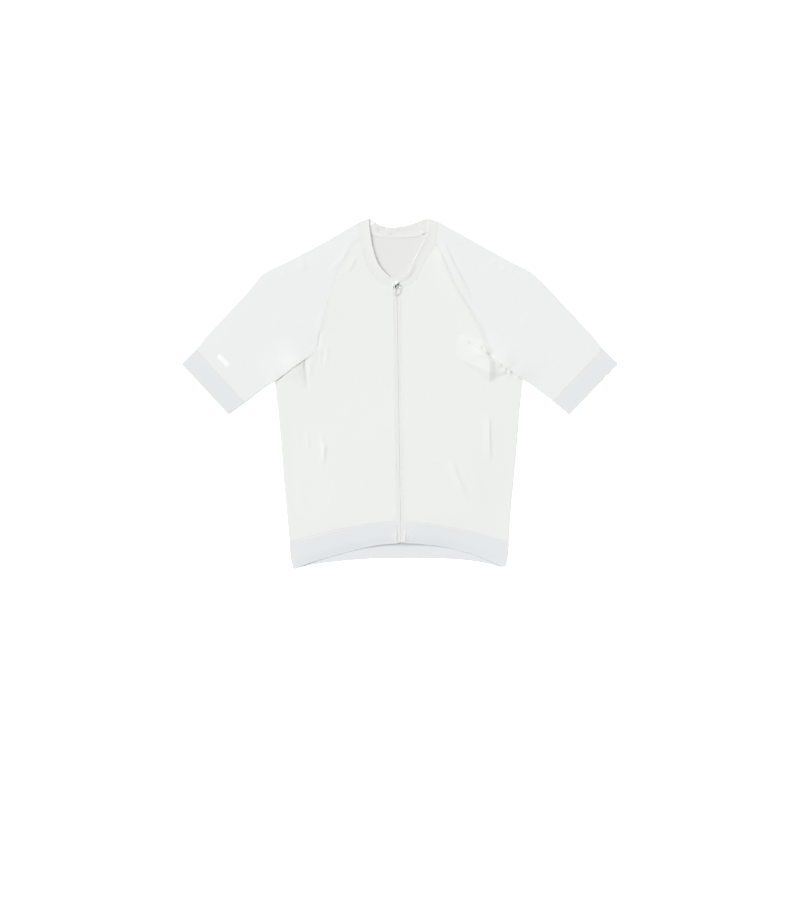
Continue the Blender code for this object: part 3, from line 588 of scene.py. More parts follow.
def fold_height(folds, x, y, fades=(0.3, 0.4)):
    """Ridges, or troughs below 0, along bent lines that fade towards both ends.

    A fold is its height, its half widths left and right of its course, and the x and y of
    its points. fades are the shares of its length over which it begins and ends.
    """
    total = np.zeros_like(x)
    for height, left, right, *flat in folds:
        points = list(zip(flat[::2], flat[1::2]))
        near, side, place = np.full(x.shape, np.inf), np.zeros(x.shape), np.zeros(x.shape)
        start = 0.0
        for (x0, y0), (x1, y1) in zip(points, points[1:]):
            length = math.hypot(x1 - x0, y1 - y0)
            ux, uy = (x1 - x0) / length, (y1 - y0) / length
            along = np.clip((x - x0) * ux + (y - y0) * uy, 0.0, length)
            away_x, away_y = x - x0 - ux * along, y - y0 - uy * along
            distance = np.hypot(away_x, away_y)
            closer = distance < near
            near = np.where(closer, distance, near)
            side = np.where(closer, ux * away_y - uy * away_x, side)
            place = np.where(closer, start + along, place)
            start += length
        fade = smooth(0.0, fades[0] * start, place)
        fade *= smooth(start, (1 - fades[1]) * start, place)
        total += height * fade * bell(near, np.where(side > 0, left, right))
    return total


def pocket_lift(x, y, reach):
    """How far the pocket raises what lies on it: 0 off the pocket, 1 on it."""
    across, top, foot = reach
    share = np.abs(x) / np.abs(np.where(x < 0, side_x(y, -1), side_x(y, 1)))
    return smooth(*across, share) * smooth(*top, y) * smooth(*foot, y)


def curl_offsets(curl):
    """Inset and drop of each point of a quarter round, from its inner end to its rim."""
    t = np.linspace(0.0, 1.0, CURL_STEPS + 1)
    curl = np.asarray(curl)[..., None]
    widest = np.sin(curl * CURL_ANGLE)
    angle = curl * t * CURL_ANGLE
    inset = FOLD_R * ((widest - np.sin(angle)) + (1 - widest) * (1 - t))
    return inset, FOLD_R * (1 - np.cos(angle))


def panel_edge(sleeve, side, face):
    """Outer ends of a body panel's rows from the hem to the collar: x, y, curl."""
    column = 1 if side < 0 else 2
    rows = sleeve[sleeve[:, -1] <= TUCK_END][::-1]
    under = smooth(RAGLAN_END, RAGLAN_END + 1, rows[:, -1])[:, None]
    first = 0 if face == "front" else 4
    ends = between(rows[:, first:first + 2], rows[:, 4:6], under)
    ends[:, 0] -= side * SEWN_GAP
    coarse = [(row[column], row[0], row[3]) for row in SIDE_SECTIONS]
    sides = refine(coarse + [(*ends[0], 0.0)], GRID)[:-1, :3]
    edge = np.vstack((sides, np.column_stack((ends, np.zeros(len(ends))))))
    edge[:, 2] = np.clip(edge[:, 2], 0.0, 1.0)
    return crowded(edge)


def panel_places(inner, outer, curl, fine_from, gap=GRID):
    """Plan of a body panel: x, y and share of each point, its drop, its distance to the rim."""
    length = np.linalg.norm(outer - inner, axis=1)[:, None]
    inset, drop = curl_offsets(curl)
    columns = int(length.max() / gap)
    coarse = np.concatenate((np.array(EDGE_ROWS), np.arange(1, columns))) / columns
    coarse = coarse[coarse < fine_from]
    base = np.concatenate((coarse, np.arange(fine_from, 1.0, FINE_STEP / columns)))
    rim = 1 - inset[:, :1] / length
    share = np.concatenate((base[None, :] * rim, 1 - inset / length), axis=1)
    drop = np.concatenate((np.zeros((len(length), len(base))), drop), axis=1)
    plan = inner[:, None] + (outer - inner)[:, None] * share[..., None]
    return plan, share, drop, np.maximum(rim - share, 0.0) * length


def grooved(z, distance, depth=0.25, half=1.1):
    """Heights drawn down by the thread along a sewn edge."""
    return z - depth * bell(distance, half)


def lifted(plan, z):
    """Points from their plan and their heights."""
    return np.concatenate((plan, z[..., None]), axis=2)


sleeve_left = refine(SLEEVE_LEFT, GRID)
sleeve_right = refine(SLEEVE_RIGHT, GRID)
halves = []
edges = {side: panel_edge(sleeve, side, "back")
         for side, sleeve in ((-1, sleeve_left), (1, sleeve_right))}
count = max(len(edges[-1]), len(edges[1]))
for side in (-1, 1):
    old = np.linspace(0.0, 1.0, len(edges[side]))
    new = np.linspace(0.0, 1.0, count)
    edges[side] = np.column_stack([np.interp(new, old, edges[side][:, k]) for k in range(3)])
middle_y = (edges[-1][:, 1] + edges[1][:, 1]) / 2
back_seam = refine(COLLAR_BACK, GRID)
for side in (-1, 1):
    edge = edges[side]
    inner = np.column_stack((np.zeros(count), middle_y))
    plan, share, drop, _ = panel_places(inner, edge[:, :2], edge[:, 2], BACK_FINE_FROM, BACK_GRID)
    low = smooth(*HEM_BOW, middle_y)[:, None]
    high = smooth(*BACK_BOW, middle_y)[:, None]
    sag = arch(HEM_BACK_SEAM, edge[:, :1] * share) - middle_y[0]
    seam = np.interp(edge[-1, 0] * share, back_seam[:, 0], back_seam[:, 1]) - SEWN_GAP
    plan[..., 1] += sag * low + (seam - edge[-1, 1]) * high
    z = POCKET_LIFT * pocket_lift(plan[..., 0], plan[..., 1], BACK_LIFT) + drop
    z += fold_height(UNDER_FOLDS, plan[..., 0], plan[..., 1]) * (drop == 0)
    halves.append(lifted(plan, z))
back_grid = np.concatenate((halves[0][:, ::-1], halves[1][:, 1:]), axis=1)
# The inner face's darker tone is partly painted shade of the neck opening.
wrong_side_and_shade = knit("body_knit_wrong_side_and_shade", WRONG_SIDE_AND_SHADE_LIGHT, WRONG_SIDE_AND_SHADE_DARK)
back = cloth("back_panel", back_grid, body_cloth, ["back"], upward=False,
             inside=wrong_side_and_shade)

# ---- Fronts -------------------------------------------------------------------------
# Two panels of the same knit between the zip and the raglan seams. They lie on the back,
# drawn up at the armpits and along the pocket, with a turned edge beside the zip.
ZIP_FOOT = (2.0, -292.0)
ZIP_HEAD = (-6.2, 228.0)
ZIP_HALF = 6.5                  # half of the strip that shows between the two fronts
NECK_SEAM_Y = 209.4
FRONT_REST = 2.6                # height of the upper face of the front where it lies lowest
EDGE_REACH = 14.0               # how far a rounded edge props up the cloth beside it
SWELL = 0.25
SWELL_X, SWELL_Y, SWELL_SLANT = 47.0, 61.0, 83.0
FRONT_LIFT = ((0.96, 0.52), (40.0, -120.0), (-312.0, -232.0))
HEM_FRONT_SEAM = (-250.0, 41.0, 214.0, 1.6)
ROW_LEVELS = ((-291.0, -250.0), (25.0, 12.0), (78.0, 62.0))   # y at the side, y at the zip
FRONT_BOW = 130.0
FINE_FROM = 0.7
NECK_ROWS = 7
LIP = 0.06                      # rise of the turned edge beside the zip
LIP_WIDTH = (4.5, 2.0)
LIP_GROOVE = (0.05, 0.7)        # depth and half width of its own sewn line

# Front collar from the zip to the shoulder: seam x, seam y, top x, top y, how far the
# top edge stands clear of the cloth beside it.
COLLAR_LEFT = (
    (-12.6, 209.4, -12.8, 227.8, 1.1), (-22, 210.2, -20, 228.2, 1.3),
    (-33, 214.2, -25, 231.8, 1.3), (-43.6, 222.4, -31, 237.6, 1.2), (-54.6, 236, -39, 247, 1.1),
    (-64.4, 255, -46.4, 261, 1), (-72, 281, -54, 287, 0.9), (-77.4, 302, -57.6, 308, 0.8),
    (-78.2, 320, -60, 326, 0.5), (-79.6, 335, -60.6, 342.6, 0),
)
COLLAR_RIGHT = (
    (0.6, 209.4, 0.4, 227.8, 0.7), (13, 210, 9.8, 227.8, 0.7), (25, 216, 14, 232, 0.7),
    (34.4, 227.4, 18.4, 239, 0.8), (43.4, 245, 26, 256, 0.8), (53.4, 265.6, 36, 276.4, 0.8),
    (65, 283, 44, 291, 0.8), (70.6, 292, 48.6, 301, 0.8), (72.6, 312, 54.8, 317, 0.5),
    (75.8, 335, 55.6, 342.6, 0),
)

# Folds of the upper side, long soft ones first. The sleeves share them.
FOLDS = (
    (1.3, 2.8, 22, 82, 302, 93, 276, 105, 250, 118, 226, 131, 200, 146, 168),
    (0.4, 2.4, 6, 150, 156, 160, 130, 171, 98), (0.2, 6, 3, -86, 318, -96, 300, -118, 262),
    (0.3, 6, 3.5, -95, 292, -108, 268, -126, 238), (0.5, 2.6, 9, -84, 268, -92, 252, -104, 232),
    (0.7, 2.4, 8, -193, 268, -189, 254, -181, 239), (0.3, 5, 3, -112, 268, -124, 254, -140, 236),
    (0.4, 7, 6, -158, 118, -154, 134, -151, 158), (0.9, 2.4, 9, 173.5, -36, 174.5, -84, 177, -142),
    (0.5, 4, 3, -154, -70, -151, -96, -147, -126),
    (0.9, 2.2, 5, -146, -92, -147, -112, -149, -143),
    (0.4, 3, 5, -181, -68, -179, -92, -176, -116),
    (0.8, 3, 10, 98, -122, 108, -150, 121, -182, 138, -210),
    (0.25, 4, 2, 52, -133, 64, -134, 80, -133), (0.2, 4, 5, -36, 206, -30, 198, -24, 190),
    (0.2, 5, 4, 22, 204, 28, 196, 34, 184), (0.15, 8, 6, -30, 60, -32, 36, -36, 10),
    (0.15, 7, 9, 44, 90, 47, 62, 48, 30), (0.15, 9, 7, -96, -10, -101, -34, -104, -60),
    (0.15, 8, 6, 60, -60, 70, -92, 76, -120), (0.15, 9, 7, -70, -150, -66, -182, -60, -210),
    (0.2, 6, 9, 150, -150, 154, -190, 156, -226), (0.2, 9, 6, -196, -150, -194, -190, -190, -230),
    (1.5, 34, 34, 150, 52, 178, 74, 216, 104),
    (1.4, 60, 30, -96, -302, -42, -294, 8, -291, 60, -294, 116, -303),
    (0.5, 4, 2.5, 206, 252, 202, 246, 196, 236), (0.45, 3.5, 2.5, 222, 246, 219, 240, 214, 232),
    (0.4, 4, 3, 186, 262, 183, 257, 178, 250), (0.4, 5, 3, -232, 240, -228, 234, -222, 226),
    (0.25, 7, 5, -250, 150, -240, 136, -228, 122), (0.25, 5, 7, 250, 150, 240, 138, 232, 122),
    (0.2, 7, 5, -300, 60, -308, 52, -318, 40), (0.2, 5, 7, 300, 58, 310, 50, 322, 40),
)

# Depth of the raglan seams: the right one lies a little sunk between the cloth on both sides.
RAGLAN_SINK = {-1: 0.06, 1: 0.14}

# The ridge along the right raglan seam, and the crease that runs into its foot.
SEAM_FOLDS = (
    (-1.7, 2.6, 2, 158, 92, 167, 82, 174, 76, 181, 71),
    (1.25, 3, 26, 70, 293, 80, 270, 90, 246, 103, 215, 122, 184,
     139, 156, 154, 128, 166, 101, 177, 73),
)

# Short folds of the fronts alone, drawn together at the armpits and the zip's foot.
FRONT_FOLDS = (
    (-0.35, 5, 1, -188, 68, -186, 42, -182, 18, -180, 4),
    (0.5, 5, 2.5, -178, 66, -176, 52, -174, 30), (-0.5, 4, 4.5, -157, 124, -158, 104, -162, 82),
    (-0.5, 3, 3.5, -163, 84, -160, 72, -158, 56), (-0.5, 3, 3, -150, 84, -149, 70, -152, 52),
    (0.4, 4, 3, -144, 96, -142, 76, -146, 58), (0.4, 2, 3, -214, 48, -206, 44, -199, 34),
    (-1.3, 1.8, 1.8, 130, 103, 140, 94, 152, 85, 164, 77, 177, 71),
    (0.3, 5, 3, 120, 112, 130, 104, 142, 96), (1.3, 1.6, 8, 192, 69, 196, 60, 198, 49),
    (-1.5, 2.4, 2.4, 180, 71, 190, 64.5, 199, 57, 207, 50),
    (1.3, 1.6, 9, 203, 62, 205.5, 50, 205, 34), (1.6, 1.6, 8, 206, 60, 211, 49, 218, 34),
    (1.1, 9, 3, 222, 48, 226, 38, 232, 26), (0.8, 1.8, 2.4, -7, -272, -7.5, -280, -7, -291),
    (1.1, 1.5, 2.6, 10, -270, 10, -280, 10.5, -291), (1, 1.6, 2.4, 15, -274, 16, -281, 17, -291),
    (0.7, 1.8, 2.6, 22, -277, 24, -283, 26, -291),
)

# Flat facets between sharp creases where the fronts are drawn up below the sleeves, as fans:
# a tip and the corners round it, each x, y and height. First the left armpit, then the right.
FACETS = (
    ((-208, 56, 3.2), (-232, 35, 0), (-204, 21, 0), (-182, 9, 0), (-189.6, 67, 1.5)),
    ((-182, 9, 0), (-189.6, 67, 1.5), (-188, 68, 0)),
    ((-243, 14, 0), (-232, 35, 0), (-234, 40, 1.2), (-246, 24, 1.2)),
    ((175.5, 64, 3.7), (175, 42, 4.3), (108, 72, 0), (112, 116, 0), (158, 106, 0), (177, 76, 0),
     (186, 61, 1), (186.5, 42, 1.5), (175, 42, 4.3)),
    ((175, 42, 4.3), (108, 72, 0), (174, 22, 0.2), (184, 27, 0), (186.5, 42, 1.5)),
    ((211, 38, -1), (184, 27, 0), (186.5, 42, 1.5), (186, 61, 1), (192, 68, 0), (214, 53, -0.6)),
    ((177, 76, 0), (192, 68, 0), (186, 61, 1)),
)
ARMPITS = ((177.5, 75.5), (-165.0, 83.0))   # where the seams hold the cloth down
ARMPIT_HOLD = 5.0
RISE_LIMITS = (-1.3, 6.0)
RISE_FADE = 24.0                # how far a sleeve that lies on it is raised as well
FOLLOW = (0.0, 2.0, 4.0)        # distances from a sleeve's edge where it is held up


def zip_x(y):
    t = (y - ZIP_FOOT[1]) / (ZIP_HEAD[1] - ZIP_FOOT[1])
    return ZIP_FOOT[0] + (ZIP_HEAD[0] - ZIP_FOOT[0]) * t


def facet_height(x, y):
    """Height over the fans of facets; 0 outside them."""
    total = np.zeros_like(x)
    for (x0, y0, z0), *ring in FACETS:
        for (x1, y1, z1), (x2, y2, z2) in zip(ring, ring[1:]):
            area = (x1 - x0) * (y2 - y0) - (x2 - x0) * (y1 - y0)
            first = ((x - x0) * (y2 - y0) - (x2 - x0) * (y - y0)) / area
            second = ((x1 - x0) * (y - y0) - (x - x0) * (y1 - y0)) / area
            rest = 1 - first - second
            inside = (first >= 0) & (second >= 0) & (rest >= 0)
            total = np.where(inside, rest * z0 + first * z1 + second * z2, total)
    return total


def top_height(x, y):
    """Height of the upper face of the front cloth, away from rounded edges."""
    swell = np.sin(x / SWELL_X + 0.6) * np.cos(y / SWELL_Y - 0.4)
    swell += np.sin((x - y) / SWELL_SLANT)
    return (FRONT_REST + POCKET_LIFT * pocket_lift(x, y, FRONT_LIFT)
            + SWELL * (1.0 + 0.5 * swell) + fold_height(FOLDS, x, y)
            + fold_height(SEAM_FOLDS, x, y, (0.16, 0.05)))


def drawn_up(x, y):
    """How far the fronts' cloth is drawn up at the armpits and the zip's foot."""
    total = fold_height(FRONT_FOLDS, x, y, (0.2, 0.35)) + facet_height(x, y)
    for pit_x, pit_y in ARMPITS:
        total *= 1 - np.exp(-((x - pit_x) ** 2 + (y - pit_y) ** 2) / ARMPIT_HOLD ** 2)
    return np.clip(total, *RISE_LIMITS)


def near_edge(height, edge_height, distance):
    """Blends a height into that of a rounded edge at a distance from it."""
    return height + (edge_height - height) * bell(distance, EDGE_REACH)


def edge_top(curl):
    """Least height of the upper face where two layers curl towards each other at an edge."""
    angle = curl * CURL_ANGLE
    return 2 * (FOLD_R * (1 - np.cos(angle)) + CLOTH * np.cos(angle)) + SEAM


fronts, panels = {}, {}
for side, name, sleeve, collar_table in ((-1, "left", sleeve_left, COLLAR_LEFT),
                                         (1, "right", sleeve_right, COLLAR_RIGHT)):
    edge = panel_edge(sleeve, side, "front")
    outer, curl = edge[:, :2], edge[:, 2]
    table = np.array(ROW_LEVELS + ((edge[-1, 1], NECK_SEAM_Y),))
    level = np.interp(edge[:, 1], table[:, 0], table[:, 1])
    inner = np.column_stack((zip_x(level) + side * (ZIP_HALF + SEWN_GAP), level))
    plan, share, drop, to_rim = panel_places(inner, outer, curl, FINE_FROM)
    neck = refine(collar_table, GRID)
    neck = neck[neck[:, -1] <= NECK_ROWS][:, :2]
    marks = run(neck[None], 1)[0] / run(neck[None], 1)[0, -1]
    low = smooth(*HEM_BOW, edge[:, 1])[:, None]
    high = smooth(FRONT_BOW, edge[-1, 1], edge[:, 1])[:, None]
    sag = arch(HEM_FRONT_SEAM, plan[..., 0]) - HEM_FRONT_SEAM[0] + HEM_FRONT_SEAM[1] * share
    for axis in (0, 1):
        chord = inner[-1, axis] + (outer[-1, axis] - inner[-1, axis]) * share
        plan[..., axis] += (np.interp(share, marks, neck[:, axis]) - chord) * high
    plan[..., 1] += sag * low
    flat = lifted(plan, np.zeros_like(drop))
    from_zip, from_hem = run(flat, 1), run(flat, 0)
    z = top_height(plan[..., 0], plan[..., 1]) + drawn_up(plan[..., 0], plan[..., 1])
    z = near_edge(z, np.maximum(z, edge_top(curl)[:, None]), to_rim)
    z = z - drop + LIP * smooth(*LIP_WIDTH, from_zip)
    z = grooved(z, from_zip, *LIP_GROOVE)
    z = grooved(grooved(z, from_hem), from_hem[-1:] - from_hem, SEWN_DEPTH)
    to_side = from_zip[:, -1:] - from_zip
    z = np.where(curl[:, None] > 0.0, z, grooved(z, to_side, RAGLAN_SINK[side]))
    grid = lifted(plan, z)
    fronts[side] = (grid, share, edge)
    panels[side] = cloth("front_panel_" + name, grid, body_cloth,
                         ["front_" + name])

# ---- Sleeves ------------------------------------------------------------------------
# Raglan sleeves of a slightly cooler knit, each one piece folded along the shoulder and
# the top of the arm, and closed along the underarm. They lie over the body at the armpit.
FOLD_TOP = 2 * FOLD_R
UPPER_LAYER = 1.5               # height above which a point is on a tube's upper layer
FOLD_STEPS = 10
UPPER_COLUMNS = 56
UNDER_COLUMNS = 30
CROSS_LIFT = 0.95
CROSS_REACH = (76.0, 8.0)
CROSS_FROM = (8.0, 9.3)         # rows of a sleeve's table between which it leaves the seam
CROSS_TO = (13.2, 11.6)
CROSS_CURL = 0.55
SLEEVE_LIGHT = (0.855, 0.875, 0.86)
SLEEVE_DARK = (0.838, 0.862, 0.848)


def unit(vector):
    length = np.linalg.norm(vector, axis=1, keepdims=True)
    return vector / length, length


def turned_over(plan, angle):
    """Points where cloth turns over at a fold, by how far it has turned at each."""
    return lifted(plan, np.broadcast_to(FOLD_R + FOLD_R * np.cos(angle), plan.shape[:2]))


def tube(front, fold, back, curl, cross, sink=0.0):
    """Sections round a flattened sleeve or cuff: upper layer, fold, under layer."""
    out, _ = unit(fold - (front + back) / 2)
    turn = fold - out * FOLD_R
    inset, drop = curl_offsets(curl)
    along, length = unit(turn - front)
    rim = inset[:, :1]
    steps = np.arange(1, UPPER_COLUMNS) / UPPER_COLUMNS
    reach = np.concatenate((inset[:, ::-1], rim + (length - rim) * steps), axis=1)
    plan = front[:, None] + along[:, None] * reach[..., None]
    z = top_height(plan[..., 0], plan[..., 1])
    z += CROSS_LIFT * cross[:, None] * smooth(*CROSS_REACH, reach)
    under = front[:, None] + along[:, None] * np.array(FOLLOW)[:, None]
    follow = np.convolve(drawn_up(under[..., 0], under[..., 1]).max(axis=1), np.ones(7) / 7,
                         "same")
    z += (np.maximum(follow, 0.0) * cross)[:, None] * bell(reach, RISE_FADE)
    z = near_edge(z, FOLD_TOP, length - reach)
    z = near_edge(z, np.maximum(z, edge_top(curl)[:, None]), np.maximum(reach - rim, 0.0))
    z = grooved(z, reach, sink * np.maximum(1 - 4 * curl - cross, 0.0)[:, None])
    z[:, :CURL_STEPS + 1] -= drop[:, ::-1]
    parts = [lifted(plan, z)]
    angle = np.linspace(0.0, math.pi, FOLD_STEPS + 1)
    plan = turn[:, None] + out[:, None] * (FOLD_R * np.sin(angle))[None, :, None]
    parts.append(turned_over(plan, angle))
    along, length = unit(back - turn)
    steps = np.arange(1, UNDER_COLUMNS) / UNDER_COLUMNS
    reach = np.concatenate(((length - rim) * steps, length - inset), axis=1)
    plan = turn[:, None] + along[:, None] * reach[..., None]
    z = fold_height(UNDER_FOLDS, plan[..., 0], plan[..., 1]) * smooth(0, 12, length - reach)
    z[:, UNDER_COLUMNS - 1:] += drop
    parts.append(lifted(plan, z))
    return np.concatenate(parts, axis=1)


sleeve_cloth = knit("sleeve_knit", SLEEVE_LIGHT, SLEEVE_DARK)
sleeves = {}
for side, name, table in ((-1, "left", sleeve_left), (1, "right", sleeve_right)):
    rows = crowded(table)
    cross = smooth(*CROSS_FROM, rows[:, -1]) * smooth(*CROSS_TO, rows[:, -1])
    curl = np.maximum(np.clip(rows[:, 6], 0, 1) * smooth(8, 9, rows[:, -1]), CROSS_CURL * cross)
    grid = tube(rows[:, 0:2], rows[:, 2:4], rows[:, 4:6], curl, cross, RAGLAN_SINK[side])
    from_neck = run(grid, 0)
    grid[..., 2] = np.where(grid[..., 2] > UPPER_LAYER, grooved(grid[..., 2], from_neck, SEWN_DEPTH),
                            grid[..., 2])
    sleeves[side] = (grid, rows)
    piece = cloth("sleeve_panel_" + name, grid, sleeve_cloth,
                  ["sleeve_" + name])

# ---- Sleeve bands -------------------------------------------------------------------
# Wide grippers of a denser, greyer elastic knit with a clean cut edge, each a tube sewn
# to its sleeve and left open at the end.
CUFF_LEFT = (-334.1, -41.4, -426.5, 58.0)   # lower x, lower y, upper x, upper y
CUFF_RIGHT = (329.5, -41.4, 425.5, 58.0)
CUFF_STEPS = 16
BAND_WALL = 0.9
BAND_LIGHT = (0.806, 0.829, 0.840)
BAND_DARK = (0.779, 0.803, 0.818)

band_cloth = knit("elastic_band", BAND_LIGHT, BAND_DARK, wale=0.7, relief=0.08,
                  roughness=0.74, rib=1.7)
cuffs = {}
for side, name, corners in ((-1, "left", CUFF_LEFT), (1, "right", CUFF_RIGHT)):
    last = sleeves[side][1][-1]
    low, high = last[0:2], last[2:4]
    start = SEWN_GAP / np.linalg.norm(np.array(corners[0:2]) - low)
    t = spread(start, CUFF_STEPS)[:, None]
    edge = low + (np.array(corners[0:2]) - low) * t
    fold = high + (np.array(corners[2:4]) - high) * t
    ones = np.ones(len(t))
    grid = tube(edge, fold, edge, ones, 0 * ones)
    upper = grid[..., 2] > UPPER_LAYER
    grid[..., 2] = np.where(upper, grooved(grid[..., 2], run(grid, 0)), grid[..., 2])
    cuffs[side] = grid
    piece = cloth("sleeve_band_" + name, grid, band_cloth, ["cuff_" + name],
                  wall=BAND_WALL)

# ---- Hem band -----------------------------------------------------------------------
# A wide elastic band round the hem. The front is cut away in an arch, so that the inner
# face of the longer back shows below it.
HEM_FRONT_EDGE = (-292.0, 50.0, 207.0, 2.2)
HEM_BACK_EDGE = (-321.0, 21.0, 207.0, 3.6)
HEM_SAG = (-130.0, 60.0, 3.2)
HEM_CORNER = 208.4
HEM_LOW = {-1: -341.8, 1: -337.8}    # how low each corner reaches
HEM_MIDDLE = -1.2
HEM_ROUND = 5.0                 # radius of its lower corners
HEM_BULGE = 1.6
HEM_DEPTH = 41.0
HEM_STEPS = 16
HEM_FRONT_SAG = (-118.0, 72.0, 7.0)
HEM_SINK = 0.1                  # the front's free edge lies down on the back
HEM_DROOP = 1.3
HEM_GATHER = (0.9, 10.0, 26.0)  # but stands up beside the zip: rise, place, half width


def hem_corner(x, side):
    """How far the lower edge rises towards its round corner at a side."""
    inward = np.clip(1 - (HEM_CORNER - side * (x - HEM_MIDDLE)) / HEM_ROUND, 0.0, 1.0)
    return HEM_ROUND * (1 - np.sqrt(1 - inward ** 2))


def hem_plan(seam, low_x, edge, sag, side, share):
    """Plan of lines across the hem band, from its seam to its free edge, and their steps."""
    sag_x, width, depth = sag
    low_y = arch(edge, low_x) - depth * bell(low_x - sag_x, width)
    low_y = np.maximum(low_y, np.where(side < 0, HEM_LOW[-1], HEM_LOW[1]))
    low = np.concatenate((low_x, low_y + hem_corner(low_x, side)), axis=1)
    t = spread(0.001, HEM_STEPS)[None, :, None]
    plan = between(seam[:, None], low[:, None], t)
    t = t[..., 0]
    plan[..., 0] += side * HEM_BULGE * np.sin(math.pi * t) * share
    return plan, t


def hem_front(side):
    """Lines across the front of the hem band, from the zip to the side."""
    grid, share, _ = fronts[side]
    flat = grid.shape[1] - CURL_STEPS
    seam, share = grid[0, :flat, :2], share[0, :flat, None]
    corner = side * HEM_CORNER + HEM_MIDDLE - side * FOLD_R
    begin = zip_x(ZIP_FOOT[1]) + side * (ZIP_HALF + SEWN_GAP)
    share = share / share[-1]
    plan, t = hem_plan(seam, begin + (corner - begin) * share, HEM_FRONT_EDGE,
                       HEM_FRONT_SAG, side, share)
    z = top_height(plan[..., 0], plan[..., 1]) + drawn_up(plan[..., 0], plan[..., 1])
    z = near_edge(z, FOLD_TOP, (1 - share) * abs(corner))
    rise, place, half = HEM_GATHER
    z += (rise * bell(plan[..., 0] - place, half) - HEM_SINK) * t ** 2 * (1 - share ** 6)
    z -= HEM_DROOP * smooth(0.6, 1.06, t) * (1 - share ** 6)
    z = grooved(z, t * HEM_DEPTH, SEWN_DEPTH)
    from_zip = share * abs(corner)
    z = grooved(z + LIP * smooth(*LIP_WIDTH, from_zip), from_zip, *LIP_GROOVE)
    return lifted(plan, z)


def hem_fold(side):
    t = spread(0.0, HEM_STEPS)[None, :, None]
    top_x = side_x(SIDE_SECTIONS[0][0], side)
    top = np.array((top_x, arch(HEM_FRONT_SEAM, top_x)))
    corner = np.array((side * HEM_CORNER + HEM_MIDDLE, HEM_LOW[side]))
    plan = between(top, corner, t)
    angle = np.linspace(0.0, math.pi, FOLD_STEPS + 1)[1:-1, None]
    plan = np.repeat(plan, len(angle), axis=0)
    t = t[..., 0]
    inward = side * FOLD_R * (1 - np.sin(angle))
    plan[..., 1] += t * hem_corner(corner[0] - inward, side)
    plan[..., 0] += side * HEM_BULGE * np.sin(math.pi * t) - inward
    return turned_over(plan, angle)


def hem_back():
    """Lines across the back of the hem band, from left to right."""
    seam = back_grid[0, CURL_STEPS:-CURL_STEPS, :2]
    sides = np.where(seam[:, 0] < 0, -1, 1)[:, None]
    reach = np.where(sides < 0, seam[0, 0], seam[-1, 0])
    share = seam[:, :1] / reach
    low_x = (sides * HEM_CORNER + HEM_MIDDLE - sides * FOLD_R) * share
    plan, _ = hem_plan(seam, low_x, HEM_BACK_EDGE, HEM_SAG, sides, share)
    return lifted(plan, np.zeros_like(plan[..., 0]))


hem_parts = {side: hem_front(side) for side in (-1, 1)}
back_lines = hem_back()
hem_grid = np.concatenate((hem_parts[-1], hem_fold(-1), back_lines, hem_fold(1)[::-1],
                           hem_parts[1][::-1]))
hem = cloth("hem_elastic", hem_grid, band_cloth, ["hem_band"], wall=BAND_WALL)

# ---- Collar -------------------------------------------------------------------------
# A low band of soft knit round the neck, slightly warmer than the body, folded double so
# that its free edge is round. It stands clear of the back at the left of the neck.
COLLAR_WALL = 1.1
COLLAR_DEPTH = 19.0
SEAM_SHARE = 0.003              # share of the width by which the band clears its seam
COLLAR_STEPS = 9
COLLAR_GRID = 1.6
BACK_STAND = 0.9
COLLAR_LIGHT = (0.852, 0.860, 0.842)
COLLAR_DARK = (0.834, 0.844, 0.827)
COLLAR_FOLDS = (
    (1.9, 2, 5, -57, 336, -48, 328, -38, 318), (1.4, 4, 2, -50, 340, -38, 328, -28, 318),
    (1, 2, 4, -28, 324, -22, 316, -14, 310), (0.8, 2, 2, -10, 324, -6, 321, -3, 318),
    (0.9, 2.5, 2.5, 38, 316, 43, 313, 49, 313), (0.6, 4, 2, 34, 326, 42, 322, 52, 318),
)
across = spread(SEAM_SHARE, COLLAR_STEPS)[None]


def shifted(table, side):
    """A collar table whose last row stops where the shoulder fold starts to turn."""
    rows = np.array(table, float)
    run_x, run_y = rows[-1, 2:4] - rows[-1, 0:2]
    length = math.hypot(run_x, run_y)
    out = np.array((side * abs(run_y), abs(run_x))) / length
    rows[-1, 0:2] -= out * FOLD_R
    rows[-1, 2:4] -= out * FOLD_R
    return rows, out


def collar_front(rows):
    lines = refine(rows, COLLAR_GRID)
    t = across[..., None]
    plan = between(lines[:, None, 0:2], lines[:, None, 2:4], t)
    t = across
    away = np.linalg.norm(lines[:, 0:2] - rows[-1, 0:2], axis=1)[:, None]
    z = near_edge(top_height(plan[..., 0], plan[..., 1]), FOLD_TOP, away)
    z = z + np.maximum(lines[:, 4:5], 0) * t ** 3
    z = grooved(z, t * COLLAR_DEPTH, SEWN_DEPTH)
    return lifted(plan, z)


def collar_fold(rows, out):
    t = across[..., None]
    angle = np.linspace(0.0, math.pi, FOLD_STEPS + 1)[1:-1, None]
    plan = between(rows[-1, 0:2], rows[-1, 2:4], t) + out * (FOLD_R * np.sin(angle))[..., None]
    return turned_over(plan, angle)


